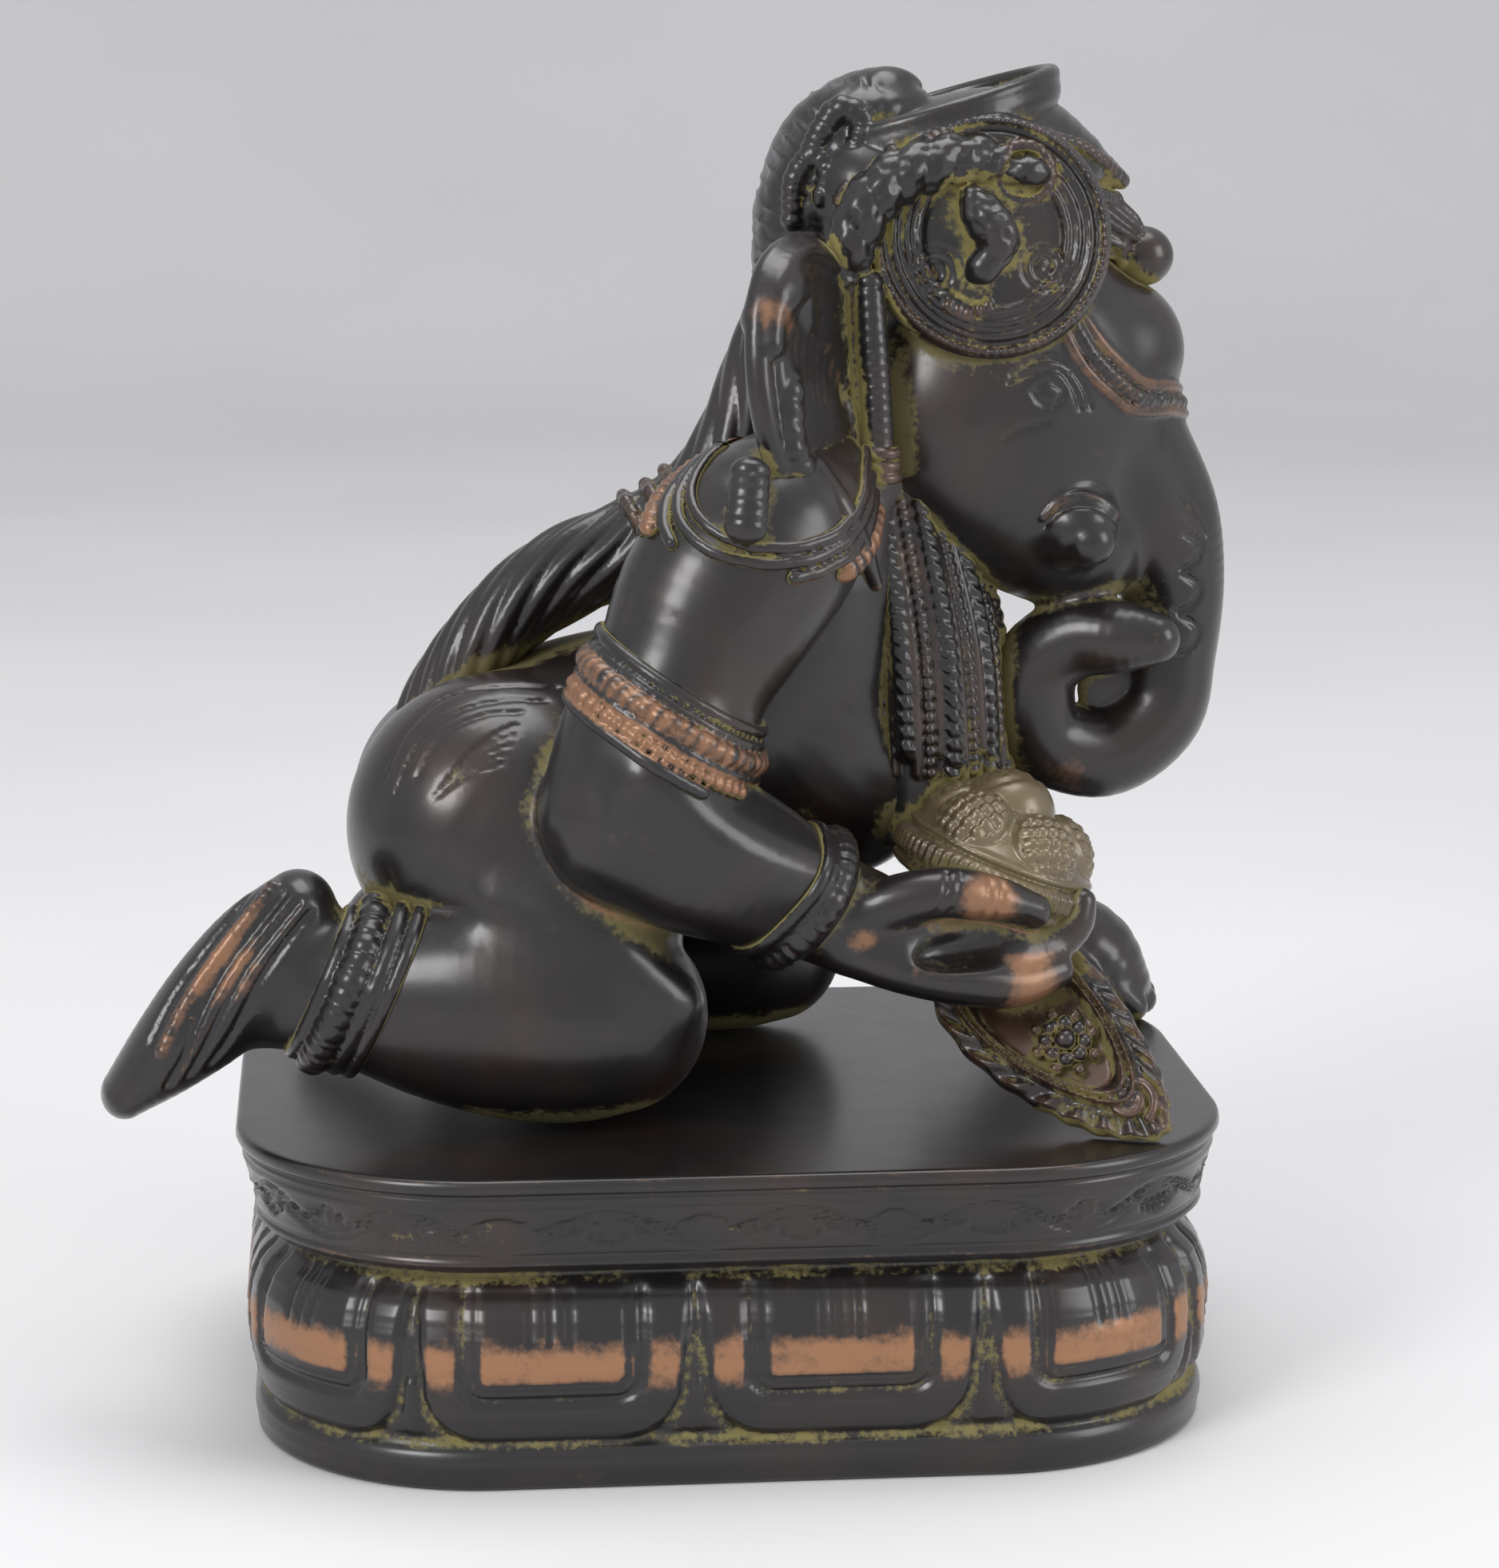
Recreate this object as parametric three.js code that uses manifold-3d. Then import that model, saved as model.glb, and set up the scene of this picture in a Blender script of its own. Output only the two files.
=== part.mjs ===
// A crawling Ganesha with a bowl of sweets, cast in brass, kneeling on a lotus plinth.
// Millimetres, +Z up. +X is the way the figure crawls and -Y is its right side.
// The origin is the middle of the plinth's underside.
import * as THREE from 'three';
import { mergeVertices } from 'three/addons/utils/BufferGeometryUtils.js';
import Module from 'manifold-3d';

const wasm = await Module();
wasm.setup();

// Driving dimensions of the plinth
const plinthLength = 170;
const plinthDepth = 132;
const plinthCorner = 43;
const plinthHeight = 53.9;
const slabBottom = 37.2;
const slabInset = 3.7;
const lipHeight = 3.2;
const petalCount = 12;
const petalSteps = 4;
const petalShift = 1 / petalSteps;
const petalLowest = 8;
const petalHighest = 33.5;
const petalFaceWidth = 10.4;
const petalFaceCourse = [[29.5, 3.4], [24, 2.2], [18, 2.2]];
const creaseDepth = 3.2;
const figureGap = 0.3;

// Places on the body that the limbs run through
const seat = plinthHeight + figureGap;
const hipRight = [-38, -15, 103.5];
const hipLeft = [-34, 20, 103];
const shoulderRight = [5, -33, 154];
const shoulderLeft = [20, 30, 150];
const elbowRight = [-19, -43, 110];
const elbowLeft = [43, 39, 107];
const wristRight = [12.8, -38, 93.5];
const wristLeft = [53, 40, 83];
const headMiddle = [48, 0, 176];
const bowlMiddle = [45.5, -24, 95.5];
const bowlRadius = 18;
const coilMiddle = [66, 0, 123.4];
const dishMiddle = [53.8, -38.4, 70];

// A closed solid from a three.js geometry
function solidOf(geometry) {
  const bare = geometry.index ? geometry.toNonIndexed() : geometry.clone();
  bare.deleteAttribute('normal');
  bare.deleteAttribute('uv');
  const merged = mergeVertices(bare, 1e-3);
  const index = merged.getIndex().array;
  const faces = [];
  for (let i = 0; i < index.length; i += 3) {
    const [a, b, c] = [index[i], index[i + 1], index[i + 2]];
    if (a !== b && b !== c && c !== a) faces.push(a, b, c);
  }
  return new wasm.Manifold(new wasm.Mesh({
    numProp: 3,
    vertProperties: new Float32Array(merged.getAttribute('position').array),
    triVerts: new Uint32Array(faces),
  }));
}

function geometryOf(solid) {
  const mesh = solid.getMesh();
  const geometry = new THREE.BufferGeometry();
  geometry.setAttribute('position', new THREE.BufferAttribute(new Float32Array(mesh.vertProperties), 3));
  geometry.setIndex(new THREE.BufferAttribute(new Uint32Array(mesh.triVerts), 1));
  geometry.computeVertexNormals();
  return geometry;
}

function joined(solids) {
  return solids.reduce((whole, next) => whole.add(next));
}

function vector(at) {
  return new THREE.Vector3(...at);
}

// A rounded limb: a sphere's rings are strung along a smooth line through the stations.
// Each station is [x, y, z, half width along the side vector, half height].
// A band is [place from 0 to 1, half width as a share of the length, how far its two turns stand out].
// Flutes are ridges that run along the limb.
function limb(stations, options = {}) {
  const { sides = 8, rings = 1, side = [0, 1, 0], ends = [1, 1], capRings = 2, bands = [], flute = 0 } = options;
  const line = new THREE.CatmullRomCurve3(stations.map((s) => vector(s)), false, 'centripetal');
  const sizes = new THREE.CatmullRomCurve3(stations.map((s) => new THREE.Vector3(s[3], s[4] ?? s[3], 0)));
  const spans = (stations.length - 1) * rings;
  const stops = Array.from({ length: spans + 1 }, (_, i) => [i / spans, 0])
    .filter(([t]) => bands.every(([place, half]) => Math.abs(t - place) > half * 1.3));
  for (const [place, half, rise] of bands) {
    for (const [shift, share] of [[-1, 0], [-0.5, 1], [0, 0.3], [0.5, 1], [1, 0]]) {
      stops.push([place + shift * half, rise * share]);
    }
  }
  stops.sort((a, b) => a[0] - b[0]);
  const ringCount = stops.length - 1 + 2 * capRings;
  const geometry = new THREE.SphereGeometry(1, sides, ringCount);
  const place = geometry.getAttribute('position');
  const across = vector(side);
  for (let ring = 0; ring <= ringCount; ring++) {
    const [t, rise] = stops[THREE.MathUtils.clamp(ring - capRings, 0, stops.length - 1)];
    const fromEnd = Math.min(ring, ringCount - ring, capRings) / capRings;
    const swell = Math.sin(fromEnd * Math.PI / 2);
    const reach = Math.cos(fromEnd * Math.PI / 2) * (ring < ringCount / 2 ? -ends[0] : ends[1]);
    const centre = line.getPoint(t);
    const ahead = line.getTangent(t);
    const size = sizes.getPoint(t);
    const wide = across.clone().addScaledVector(ahead, -across.dot(ahead)).normalize();
    const high = ahead.clone().cross(wide);
    centre.addScaledVector(ahead, reach * Math.min(size.x, size.y));
    for (let step = 0; step <= sides; step++) {
      const angle = step / sides * 2 * Math.PI;
      const ridge = step % 2 === 0 ? flute : -flute;
      const point = centre.clone()
        .addScaledVector(wide, -Math.cos(angle) * swell * (size.x + rise + ridge))
        .addScaledVector(high, Math.sin(angle) * swell * (size.y + rise + ridge));
      place.setXYZ(ring * (sides + 1) + step, point.x, point.y, point.z);
    }
  }
  return solidOf(geometry);
}

function mass(at, radii, sides = 10, rings = 6) {
  const geometry = new THREE.SphereGeometry(1, sides, rings);
  geometry.rotateX(Math.PI / 2);
  geometry.scale(...radii);
  geometry.translate(...at);
  return solidOf(geometry);
}

// A profile of [radius, height] pairs turned on its axis and set at a place, axis along a direction
function turned(profile, at, axis, steps = 16) {
  const geometry = new THREE.LatheGeometry(profile.map(([r, z]) => new THREE.Vector2(r, z)), steps);
  geometry.rotateX(Math.PI / 2);
  const turn = new THREE.Quaternion().setFromUnitVectors(new THREE.Vector3(0, 0, 1), vector(axis).normalize());
  geometry.applyQuaternion(turn);
  geometry.translate(...at);
  return solidOf(geometry);
}

// The plane that a flat piece is laid on, from a point on it and two directions along it
function placement(at, right, up) {
  const across = vector(right).normalize();
  const lift = vector(up).addScaledVector(across, -vector(up).dot(across)).normalize();
  return new THREE.Matrix4().makeBasis(across, lift, across.clone().cross(lift)).setPosition(...at);
}

// A flat plate cut to a smooth outline, its middle on the plane and its edges bevelled
function plate(outline, thickness, placed, bevel = 0.8, smooth = 2) {
  const edge = new THREE.SplineCurve([...outline, outline[0]].map(([u, v]) => new THREE.Vector2(u, v)));
  const shape = new THREE.Shape(edge.getPoints(outline.length * smooth).slice(0, -1));
  const geometry = new THREE.ExtrudeGeometry(shape, {
    depth: thickness - 2 * bevel, bevelThickness: bevel, bevelSize: bevel, bevelOffset: -bevel, bevelSegments: 1,
  });
  geometry.translate(0, 0, bevel - thickness / 2);
  geometry.applyMatrix4(placed);
  return solidOf(geometry);
}

// The plinth: one loft around a rounded rectangle, from the foot up through the lotus petals,
// the recess and the slab to the flat top. Each profile point is [offset from the outline, height].
const halfLength = plinthLength / 2;
const halfDepth = plinthDepth / 2;
const turnX = halfLength - plinthCorner;
const turnY = halfDepth - plinthCorner;
const outline = new THREE.Path();
outline.moveTo(-turnX, -halfDepth);
outline.lineTo(turnX, -halfDepth);
outline.absarc(turnX, -turnY, plinthCorner, -Math.PI / 2, 0);
outline.lineTo(halfLength, turnY);
outline.absarc(turnX, turnY, plinthCorner, 0, Math.PI / 2);
outline.lineTo(-turnX, halfDepth);
outline.absarc(-turnX, turnY, plinthCorner, Math.PI / 2, Math.PI);
outline.lineTo(-halfLength, -turnY);
outline.absarc(-turnX, -turnY, plinthCorner, Math.PI, 1.5 * Math.PI);

const footInset = 2.8;
const bulgeInset = 1.5;
const recessInset = 8;
const plinthProfile = [
  [-footInset - 0.6, 0], [-footInset, 2.5], [-footInset, petalLowest - 1], [-footInset - 1.2, petalLowest],
  [-bulgeInset - 0.8, 12.5], [-bulgeInset, 19], [-bulgeInset - 0.2, 26], [-bulgeInset - 3, 31.5],
  [-recessInset, petalHighest + 1.5], [-slabInset - 0.7, slabBottom], [-slabInset, slabBottom + 1.4],
  [-0.6, plinthHeight - lipHeight], [0, plinthHeight - lipHeight + 0.7], [0, plinthHeight - 0.6], [-0.8, plinthHeight],
];

// A point on the plinth's side, a given offset out from the outline
function onOutline(u, offset, height) {
  const edge = outline.getPointAt(u);
  const along = outline.getTangentAt(u);
  return new THREE.Vector3(edge.x + along.y * offset, edge.y - along.x * offset, height);
}

function petalRelief(u, height) {
  const phase = (u * petalCount + petalShift) % 1;
  const rise = THREE.MathUtils.clamp((height - petalLowest) / (petalHighest - petalLowest), 0, 1);
  return Math.sin(Math.PI * rise) * (Math.sin(Math.PI * phase) ** 0.4 - 1) * creaseDepth;
}

function makePlinth() {
  const latheRadius = 1000;
  const segments = petalCount * petalSteps;
  const profile = plinthProfile.map(([offset, z]) => new THREE.Vector2(latheRadius + offset, z));
  profile.unshift(new THREE.Vector2(0, 0));
  profile.push(new THREE.Vector2(0, plinthHeight));
  const geometry = new THREE.LatheGeometry(profile, segments);
  const place = geometry.getAttribute('position');
  for (let i = 0; i < place.count; i++) {
    const radius = Math.hypot(place.getX(i), place.getZ(i));
    const height = place.getY(i);
    const u = (Math.floor(i / profile.length) % segments) / segments;
    const offset = radius - latheRadius + petalRelief(u, height);
    const point = radius < 1 ? new THREE.Vector3(0, 0, height) : onOutline(u, offset, height);
    place.setXYZ(i, point.x, point.y, point.z);
  }
  return joined([solidOf(geometry), ...Array.from({ length: petalCount }, (_, petal) => petalFace(petal))]);
}

// The raised U-shaped face in the middle of each petal
function petalFace(petal) {
  const u = (petal + 0.5 - petalShift + petalCount) / petalCount % 1;
  const along = outline.getTangentAt(u);
  const stations = petalFaceCourse.map(([height, inset]) => [...onOutline(u, -inset, height).toArray(), petalFaceWidth, 2]);
  return limb(stations, { sides: 6, capRings: 1, ends: [1, 1.6], side: [along.x, along.y, 0] });
}

// The body: hips, belly and chest on one leaning line
const torso = [
  limb([
    [-42, 3, 104, 27, 22], [-24, 3, 108, 28, 24.3], [-8, 2, 113, 29, 24], [6, 0, 124, 27, 26],
    [14, 0, 143, 26, 21], [22, 0, 160, 20, 15], [32, 0, 172, 18, 15],
  ], { sides: 12 }),
  mass([20, 0, 109], [19, 21, 19], 9, 6),
  mass(hipRight, [26.8, 22.4, 26.2], 12, 8),
  mass(hipLeft, [26, 21, 25], 9, 7),
];

// The right leg kneels on its shin, its foot stands out past the plinth's edge
const rightLeg = [
  limb([[-42, -19, 104, 21, 22], [-26, -26, 93, 18, 20], [-19, -31, 80, 15, 13]]),
  limb([
    [-74, -30, 81, 9.5, 13], [-68.5, -30, 79.3, 10.5, 13], [-59, -30, 77, 13, 14.6], [-48, -30, 76.2, 16, 18.4],
    [-34, -30, 75.2, 18, 20.8], [-23, -30.5, 73.4, 17, 18.6], [-18, -31, 71.5, 15, 15],
  ], { sides: 12, ends: [0.3, 0.7], bands: [[0.245, 0.075, 2.6]] }),
  limb([
    [-73.5, -30, 91.6, 8, 7], [-82, -30, 81.4, 10, 9.2], [-94.4, -30, 69.4, 11.5, 7], [-103.4, -30, 61.8, 9.5, 4.2],
  ], { sides: 10, ends: [0.9, 0.9] }),
];

// The left leg is drawn up further forward, its knee seen past the right forearm
const leftLeg = [
  limb([[-34, 22, 102, 19, 21], [-12, 29, 90, 17, 18], [8, 35, 74, 14, 15]]),
  limb([
    [-50, 36, 78, 8.5, 10.5], [-43, 36, 76, 9, 12], [-34, 36, 75, 11.5, 13.5], [-24, 36, 74, 15, 17],
    [-10, 36, 73.5, 16, 19.5], [6, 36, 70.5, 15, 17], [14, 36, 69, 12, 14],
  ], { ends: [0.3, 0.8], bands: [[0.23, 0.06, 2.4]] }),
  limb([[-45, 36, 84, 8, 7], [-55, 36, 77, 10, 8.4], [-65, 36, 68, 11, 6.4], [-72, 36, 63, 9, 3.8]]),
];

// The right arm, bent at the elbow, holds the bowl out in its palm
const rightArm = [
  limb([
    [13, -26, 162, 12, 12], [...shoulderRight, 17, 17.5], [-2, -37, 145, 16, 17.8], [-10, -40, 131, 15, 15.5],
    [-15, -42, 120, 17, 17.5], [...elbowRight, 15, 15.5],
  ], { sides: 10, bands: [[0.3, 0.05, 1.8], [0.7, 0.085, 2.4]] }),
  limb([
    [...elbowRight, 15, 15.5], [-10, -43, 104.8, 14.5, 15], [2, -41, 99.5, 12.5, 13],
    [...wristRight, 10, 10.5], [22, -35, 89.5, 9, 8.8], [31, -33, 87, 11.5, 9], [42, -30, 85.5, 12.5, 7], [51, -29, 86, 10, 4],
  ], { sides: 10, bands: [[0.43, 0.05, 2.6]] }),
  limb([[1, -49, 167, 3, 2.4], [0, -52, 158, 3.4, 2.4]], { sides: 5, capRings: 1 }),
];
const fingers = [
  [[22, -41, 92, 3.6], [32, -43, 96.4, 3.6], [48, -40, 92, 3]],
  [[28, -38, 84.5, 4], [38, -42, 82.5, 3.8], [50, -43, 82.8, 2.8]],
  [[44, -34, 88, 4], [52, -32, 90.5, 3.6], [57, -30, 88, 2.6]],
  [[44, -24, 86, 4], [53, -22, 86, 3.6], [59, -22, 82, 2.6]],
].map((stations) => limb(stations, { sides: 6, capRings: 1 }));

// The left arm reaches down and stands on its hand behind the bowl
const leftArm = limb([
  [14, 20, 158, 13, 13], [...shoulderLeft, 16, 16], [33, 35, 129, 13.5, 14], [...elbowLeft, 11.5, 12],
  [...wristLeft, 8.5, 8.5], [62.5, 40, 71.5, 10, 8.6], [74, 40, 65.4, 12, 8.6], [82.2, 40, 59.4, 9, 5],
], { bands: [[0.2, 0.035, 2.4], [0.56, 0.04, 2.2]] });

// The head: skull, cheeks, the swollen brow and the trunk that curls back on itself
const skull = [
  mass(headMiddle, [31, 24, 30], 12, 8),
  limb([[40, 0, 170, 22, 20], [52, 0, 158, 20, 17], [62, 0, 150, 15, 14]]),
  mass([68.5, 0, 182.3], [13, 14, 13], 11, 6),
];
function coilStation(degrees, radius, y, thickness) {
  const angle = THREE.MathUtils.degToRad(degrees);
  return [coilMiddle[0] + radius * Math.cos(angle), y, coilMiddle[2] + radius * Math.sin(angle), thickness];
}
const trunk = [
  limb([
    [62, 1, 176, 17, 17], [69.5, 1, 164, 13.5, 14], [77, 2, 152, 10.5, 11.9], [80.6, 3, 141, 8.8, 9.5],
    coilStation(18, 15, 3, 8.5), coilStation(-22, 13.4, 2, 8.3), coilStation(-80, 12.4, 0, 8),
    coilStation(-140, 12.2, -2.5, 7.8), coilStation(-205, 11.8, -5, 7.4), coilStation(-258, 10.6, -8, 6.7),
    coilStation(-290, 10.4, -11, 5.6), [75.4, -13, 133.6, 4.4],
  ], { rings: 2 }),
  mass([68, 3, 123.4], [8, 2.4, 7], 8, 4),
];
function tusk(flip) {
  return limb([[59.5, 16 * flip, 154.5, 6.6, 6.6], [59.5, 21.5 * flip, 152.5, 5, 5]], { sides: 7, side: [1, 0, 0] });
}

// Each ear is a thick leaf that stands out from the head.
// Outline points are [out from the head, up from the ear's middle].
const earOutline = [[-2, 12], [4, 21], [13, 23.5], [23.5, 20], [29.5, 8], [28.5, -8], [18, -21], [4, -29], [-2, -12]];
function ear(flip, back) {
  return plate(earOutline, 4.6, placement([20, 20 * flip, 179], [-back, flip, 0], [0, -0.22 * flip, 1]), 1.5, 1);
}

// The headdress: a crest of hair swept up behind, a brim, a pointed front and a disc at each temple
const crown = [
  mass([39, 0, 203], [29, 22, 19], 10, 6),
  limb([[15.5, 0, 196, 10, 9], [15.6, 0, 209, 14, 8.6], [21.5, 0, 220.3, 14, 8.8], [29, 0, 224.3, 11, 8]]),
  limb([[24, 0, 211, 21, 12], [38, 0, 215, 20, 12], [52, 0, 217.5, 16, 10.5], [62, 0, 214.5, 10, 6.5], [68, 0, 213, 5, 3.4]]),
  limb([[58, 0, 206, 10, 8], [67, 0, 203, 6.5, 5.5], [74, 0, 198.6, 5.6, 5.6]]),
];
const brimSteps = 7;
const brimReach = 96;
const brim = limb(Array.from({ length: brimSteps }, (_, i) => {
  const angle = THREE.MathUtils.degToRad(brimReach * (2 * i / (brimSteps - 1) - 1));
  const forward = Math.cos(angle);
  return [37 + 20.5 * forward, 18.5 * Math.sin(angle), 223 + 6 * forward, 3, 2.8];
}), { sides: 5, side: [0, 0, 1], capRings: 1 });
function temple(flip) {
  const profile = [[0, -4], [19, -4], [20, 0.5], [17.5, 1.6], [16.5, 0.6], [14, 2.6], [0, 4]];
  return [
    turned(profile, [44, 21 * flip, 203.5], [0.05, flip, 0.12], 12),
    limb([[41, 25.5 * flip, 212, 5, 3], [42.5, 28 * flip, 203, 4.6, 3.4], [42, 29 * flip, 198.6, 2.6, 2.4]],
      { sides: 5, capRings: 1, side: [1, 0, 0] }),
    limb([[13, 22 * flip, 200, 4], [20, 25 * flip, 207, 4.6], [34, 24.5 * flip, 214, 4.2], [51, 20 * flip, 216.5, 3.4]],
      { sides: 5, capRings: 1 }),
    limb([[24, 24.5 * flip, 196, 2.8], [24.5, 26 * flip, 164, 3]], { sides: 5, capRings: 1 }),
  ];
}

// The plait hangs from the back of the head, is tied halfway and lies down over the hips
const plait = limb([
  [17, 0, 196, 10, 8.4], [11.6, 0, 182, 9.5, 9], [5.4, 0, 169, 9, 8], [-5.2, 0, 156, 8.5, 7.4],
  [-16, 0, 149, 8, 7.4], [-26.4, 0, 144.4, 8, 7.5], [-36.6, 0, 137.2, 8.5, 7.4], [-43.8, 0, 129.4, 9, 7.2],
  [-49.5, 1, 119.5, 9, 6.6], [-53, 2, 112, 7, 5.2],
], { bands: [[0.45, 0.035, 2.4]] });

// Strings of beads fan down from the neck over the chest; each ridge of the fan is one string
const strandCount = 9;
const necklaces = limb([[29, 0, 158, 17, 13], [33, 0, 134, 21, 16.5], [35, 0, 104, 20, 17]],
  { sides: 2 * strandCount, flute: 1, ends: [0.6, 0.3] });

// The bowl with its heap of sweets, tipped forward on the palm
const bowlAxis = new THREE.Vector3(0.373, 0, 0.928);
const sweetCount = 6;
const sweetRadius = 7.4;
const bowl = [
  turned([
    [0, -9], [8, -8.6], [13.5, -5.5], [17, -4.4], [bowlRadius, -1.6], [bowlRadius, 1.6], [16.4, 2.6],
    [15, 6], [10, 10], [0, 12],
  ], bowlMiddle, bowlAxis.toArray(), 12),
];
function sweet(angle, out, lift) {
  const at = vector(bowlMiddle).addScaledVector(bowlAxis, lift);
  at.x += bowlAxis.z * Math.cos(angle) * out;
  at.y += Math.sin(angle) * out;
  at.z -= bowlAxis.x * Math.cos(angle) * out;
  return mass(at.toArray(), [sweetRadius, sweetRadius, sweetRadius], 7, 5);
}
for (let i = 0; i < sweetCount; i++) bowl.push(sweet((i + 0.5) / sweetCount * 2 * Math.PI, 9.4, 6.6));
bowl.push(sweet(0, 0, 10.4));

// The leaf dish leans from under the hand down to the plinth's front corner
const dishHalfLength = 26.5;
const dishHalfWidth = 12.8;
const dishThickness = 4.4;
const leafSteps = 14;
function leafOutline(scale, shift) {
  return Array.from({ length: leafSteps }, (_, i) => {
    const angle = i / leafSteps * 2 * Math.PI;
    const waist = Math.sin(angle) * (1 - 0.28 * Math.cos(angle));
    return [dishHalfLength * Math.cos(angle) * scale + shift, dishHalfWidth * waist * scale];
  });
}
function makeDish() {
  const placed = placement(dishMiddle, [0.63, -0.54, -0.56], [0.72, 0.2, 0.62]);
  const raised = (height) => placed.clone().multiply(new THREE.Matrix4().makeTranslation(0, 0, height));
  return plate(leafOutline(1, 0), dishThickness, placed, 1.4, 1)
    .add(plate(leafOutline(0.78, -1.6), dishThickness, raised(2), 0.8, 1))
    .subtract(plate(leafOutline(0.6, -2.4), 8, raised(4.6), 0.6, 1));
}

// The cast figure, cut flat where it kneels on the plinth
const below = solidOf(new THREE.BoxGeometry(400, 300, 2 * seat));
const figure = joined([
  ...torso, ...rightLeg, ...leftLeg, ...rightArm, ...fingers, leftArm, ...skull, ...trunk, tusk(-1), tusk(1),
  ear(-1, 0.67), ear(1, 0.2), ...crown, brim, ...temple(-1), ...temple(1), plait, necklaces, ...bowl, makeDish(),
]).subtract(below);

const darkBrass = new THREE.MeshStandardMaterial({ color: 0x241c1a, roughness: 0.42, metalness: 0.75 });
const rubbedBrass = new THREE.MeshStandardMaterial({ color: 0x4a3222, roughness: 0.45, metalness: 0.7 });

const statue = new THREE.Group();
function add(name, solid, material) {
  const mesh = new THREE.Mesh(geometryOf(solid), material);
  mesh.name = name;
  statue.add(mesh);
}
add('plinth', makePlinth(), rubbedBrass);
add('figure', figure, darkBrass);

export default statue;
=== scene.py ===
import itertools
import math

import bpy
import numpy as np
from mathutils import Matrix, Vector


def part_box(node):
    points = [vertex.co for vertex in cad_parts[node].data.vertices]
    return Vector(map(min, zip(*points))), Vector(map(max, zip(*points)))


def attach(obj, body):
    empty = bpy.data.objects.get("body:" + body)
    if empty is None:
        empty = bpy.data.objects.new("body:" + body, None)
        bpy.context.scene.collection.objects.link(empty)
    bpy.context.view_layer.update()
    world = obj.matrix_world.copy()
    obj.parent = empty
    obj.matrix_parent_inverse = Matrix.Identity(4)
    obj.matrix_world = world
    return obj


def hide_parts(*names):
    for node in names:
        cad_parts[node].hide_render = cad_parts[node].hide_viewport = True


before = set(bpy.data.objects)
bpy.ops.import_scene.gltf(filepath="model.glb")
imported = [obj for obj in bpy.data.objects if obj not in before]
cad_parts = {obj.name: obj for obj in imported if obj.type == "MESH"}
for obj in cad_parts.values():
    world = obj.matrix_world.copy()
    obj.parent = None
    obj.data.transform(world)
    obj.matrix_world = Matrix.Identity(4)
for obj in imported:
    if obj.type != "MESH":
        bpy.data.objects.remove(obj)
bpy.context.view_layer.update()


# The plinth is one brass casting: a slab with a chased vine round its edge, over a ring of lotus petals.
# Its side is a moulding led round a rounded rectangle, and everything chased into it is worked out
# from the distance round that outline and the height. Lengths here and below are in millimetres.
MM = 0.001
HALF_LENGTH, HALF_DEPTH, PLINTH_TOP = np.array(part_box("plinth"))[1] / MM
CORNER = 43.0
PLINTH_STEPS = 620
PLINTH_ROW = 0.62
FOOT_TOP = 7.6
PETAL_TOP = 34.0
SLAB_BOTTOM = 37.2
LIP_BOTTOM = 50.9
PETALS = 11
PETAL_START = -9.2
VINE_WAVES = 16
VINE_HEIGHT = 44.7
VINE_SWING = 2.3


def outline_of(corner, half_length, half_depth):
    """The rounded rectangle as dense rows of x, y and outward normal, with the run to each from mid-front."""
    rows = []
    for turn in range(5):
        middle = np.radians(-45 + 90 * turn)
        centre = np.array([half_length - corner, half_depth - corner]) * np.sign([np.cos(middle),
                                                                                  np.sin(middle)])
        for angle in np.linspace(middle - np.pi / 4, middle + np.pi / 4, 60):
            out = np.array([np.cos(angle), np.sin(angle)])
            rows.append([*(centre + corner * out), *out])
    rows = np.array(rows)
    run = np.concatenate([[0], np.cumsum(np.linalg.norm(np.diff(rows[:, :2], axis=0), axis=1))])
    run += half_length - corner
    return rows, run


plinth_rows, plinth_run = outline_of(CORNER, HALF_LENGTH, HALF_DEPTH)
PERIMETER = 4 * (HALF_LENGTH + HALF_DEPTH - 2 * CORNER) + 2 * math.pi * CORNER


def on_outline(run, offset):
    """Points `run` along the outline from the middle of the front, moved out by `offset`."""
    start = HALF_LENGTH - CORNER
    wrapped = (run - start) % PERIMETER + start
    x, y, nx, ny = (np.interp(wrapped, plinth_run, plinth_rows[:, k]) for k in range(4))
    return x + offset * nx, y + offset * ny


def groove(distance, width, depth):
    """A chased line: how far the surface drops at a distance from the line's middle."""
    return -depth * np.exp(-(2 * distance / width) ** 2)


def within(value, low, high, edge):
    """1 between low and high, falling smoothly to 0 over `edge` outside them."""
    rise = np.clip((value - low) / edge + 0.5, 0, 1)
    fall = np.clip((high - value) / edge + 0.5, 0, 1)
    return (rise * rise * (3 - 2 * rise)) * (fall * fall * (3 - 2 * fall))


def wander(run, seed):
    """A slow unevenness of about -1 to 1 along a hand-worked line."""
    rng = np.random.default_rng(seed)
    waves = [(n, rng.uniform(0, 2 * np.pi), rng.uniform(0.5, 1) / n ** 0.5) for n in (3, 5, 8, 13)]
    return sum(size * np.sin(n * 2 * np.pi * run / PERIMETER + shift) for n, shift, size in waves) / 2


def rounded_box(across, up, half_width, bottom, corner):
    """Distance inside (below 0) or outside a shape that is open above and has two round corners below."""
    u = np.abs(across) - (half_width - corner)
    v = (bottom + corner) - up
    return np.hypot(np.maximum(u, 0), np.maximum(v, 0)) + np.minimum(np.maximum(u, v), 0) - corner


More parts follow.
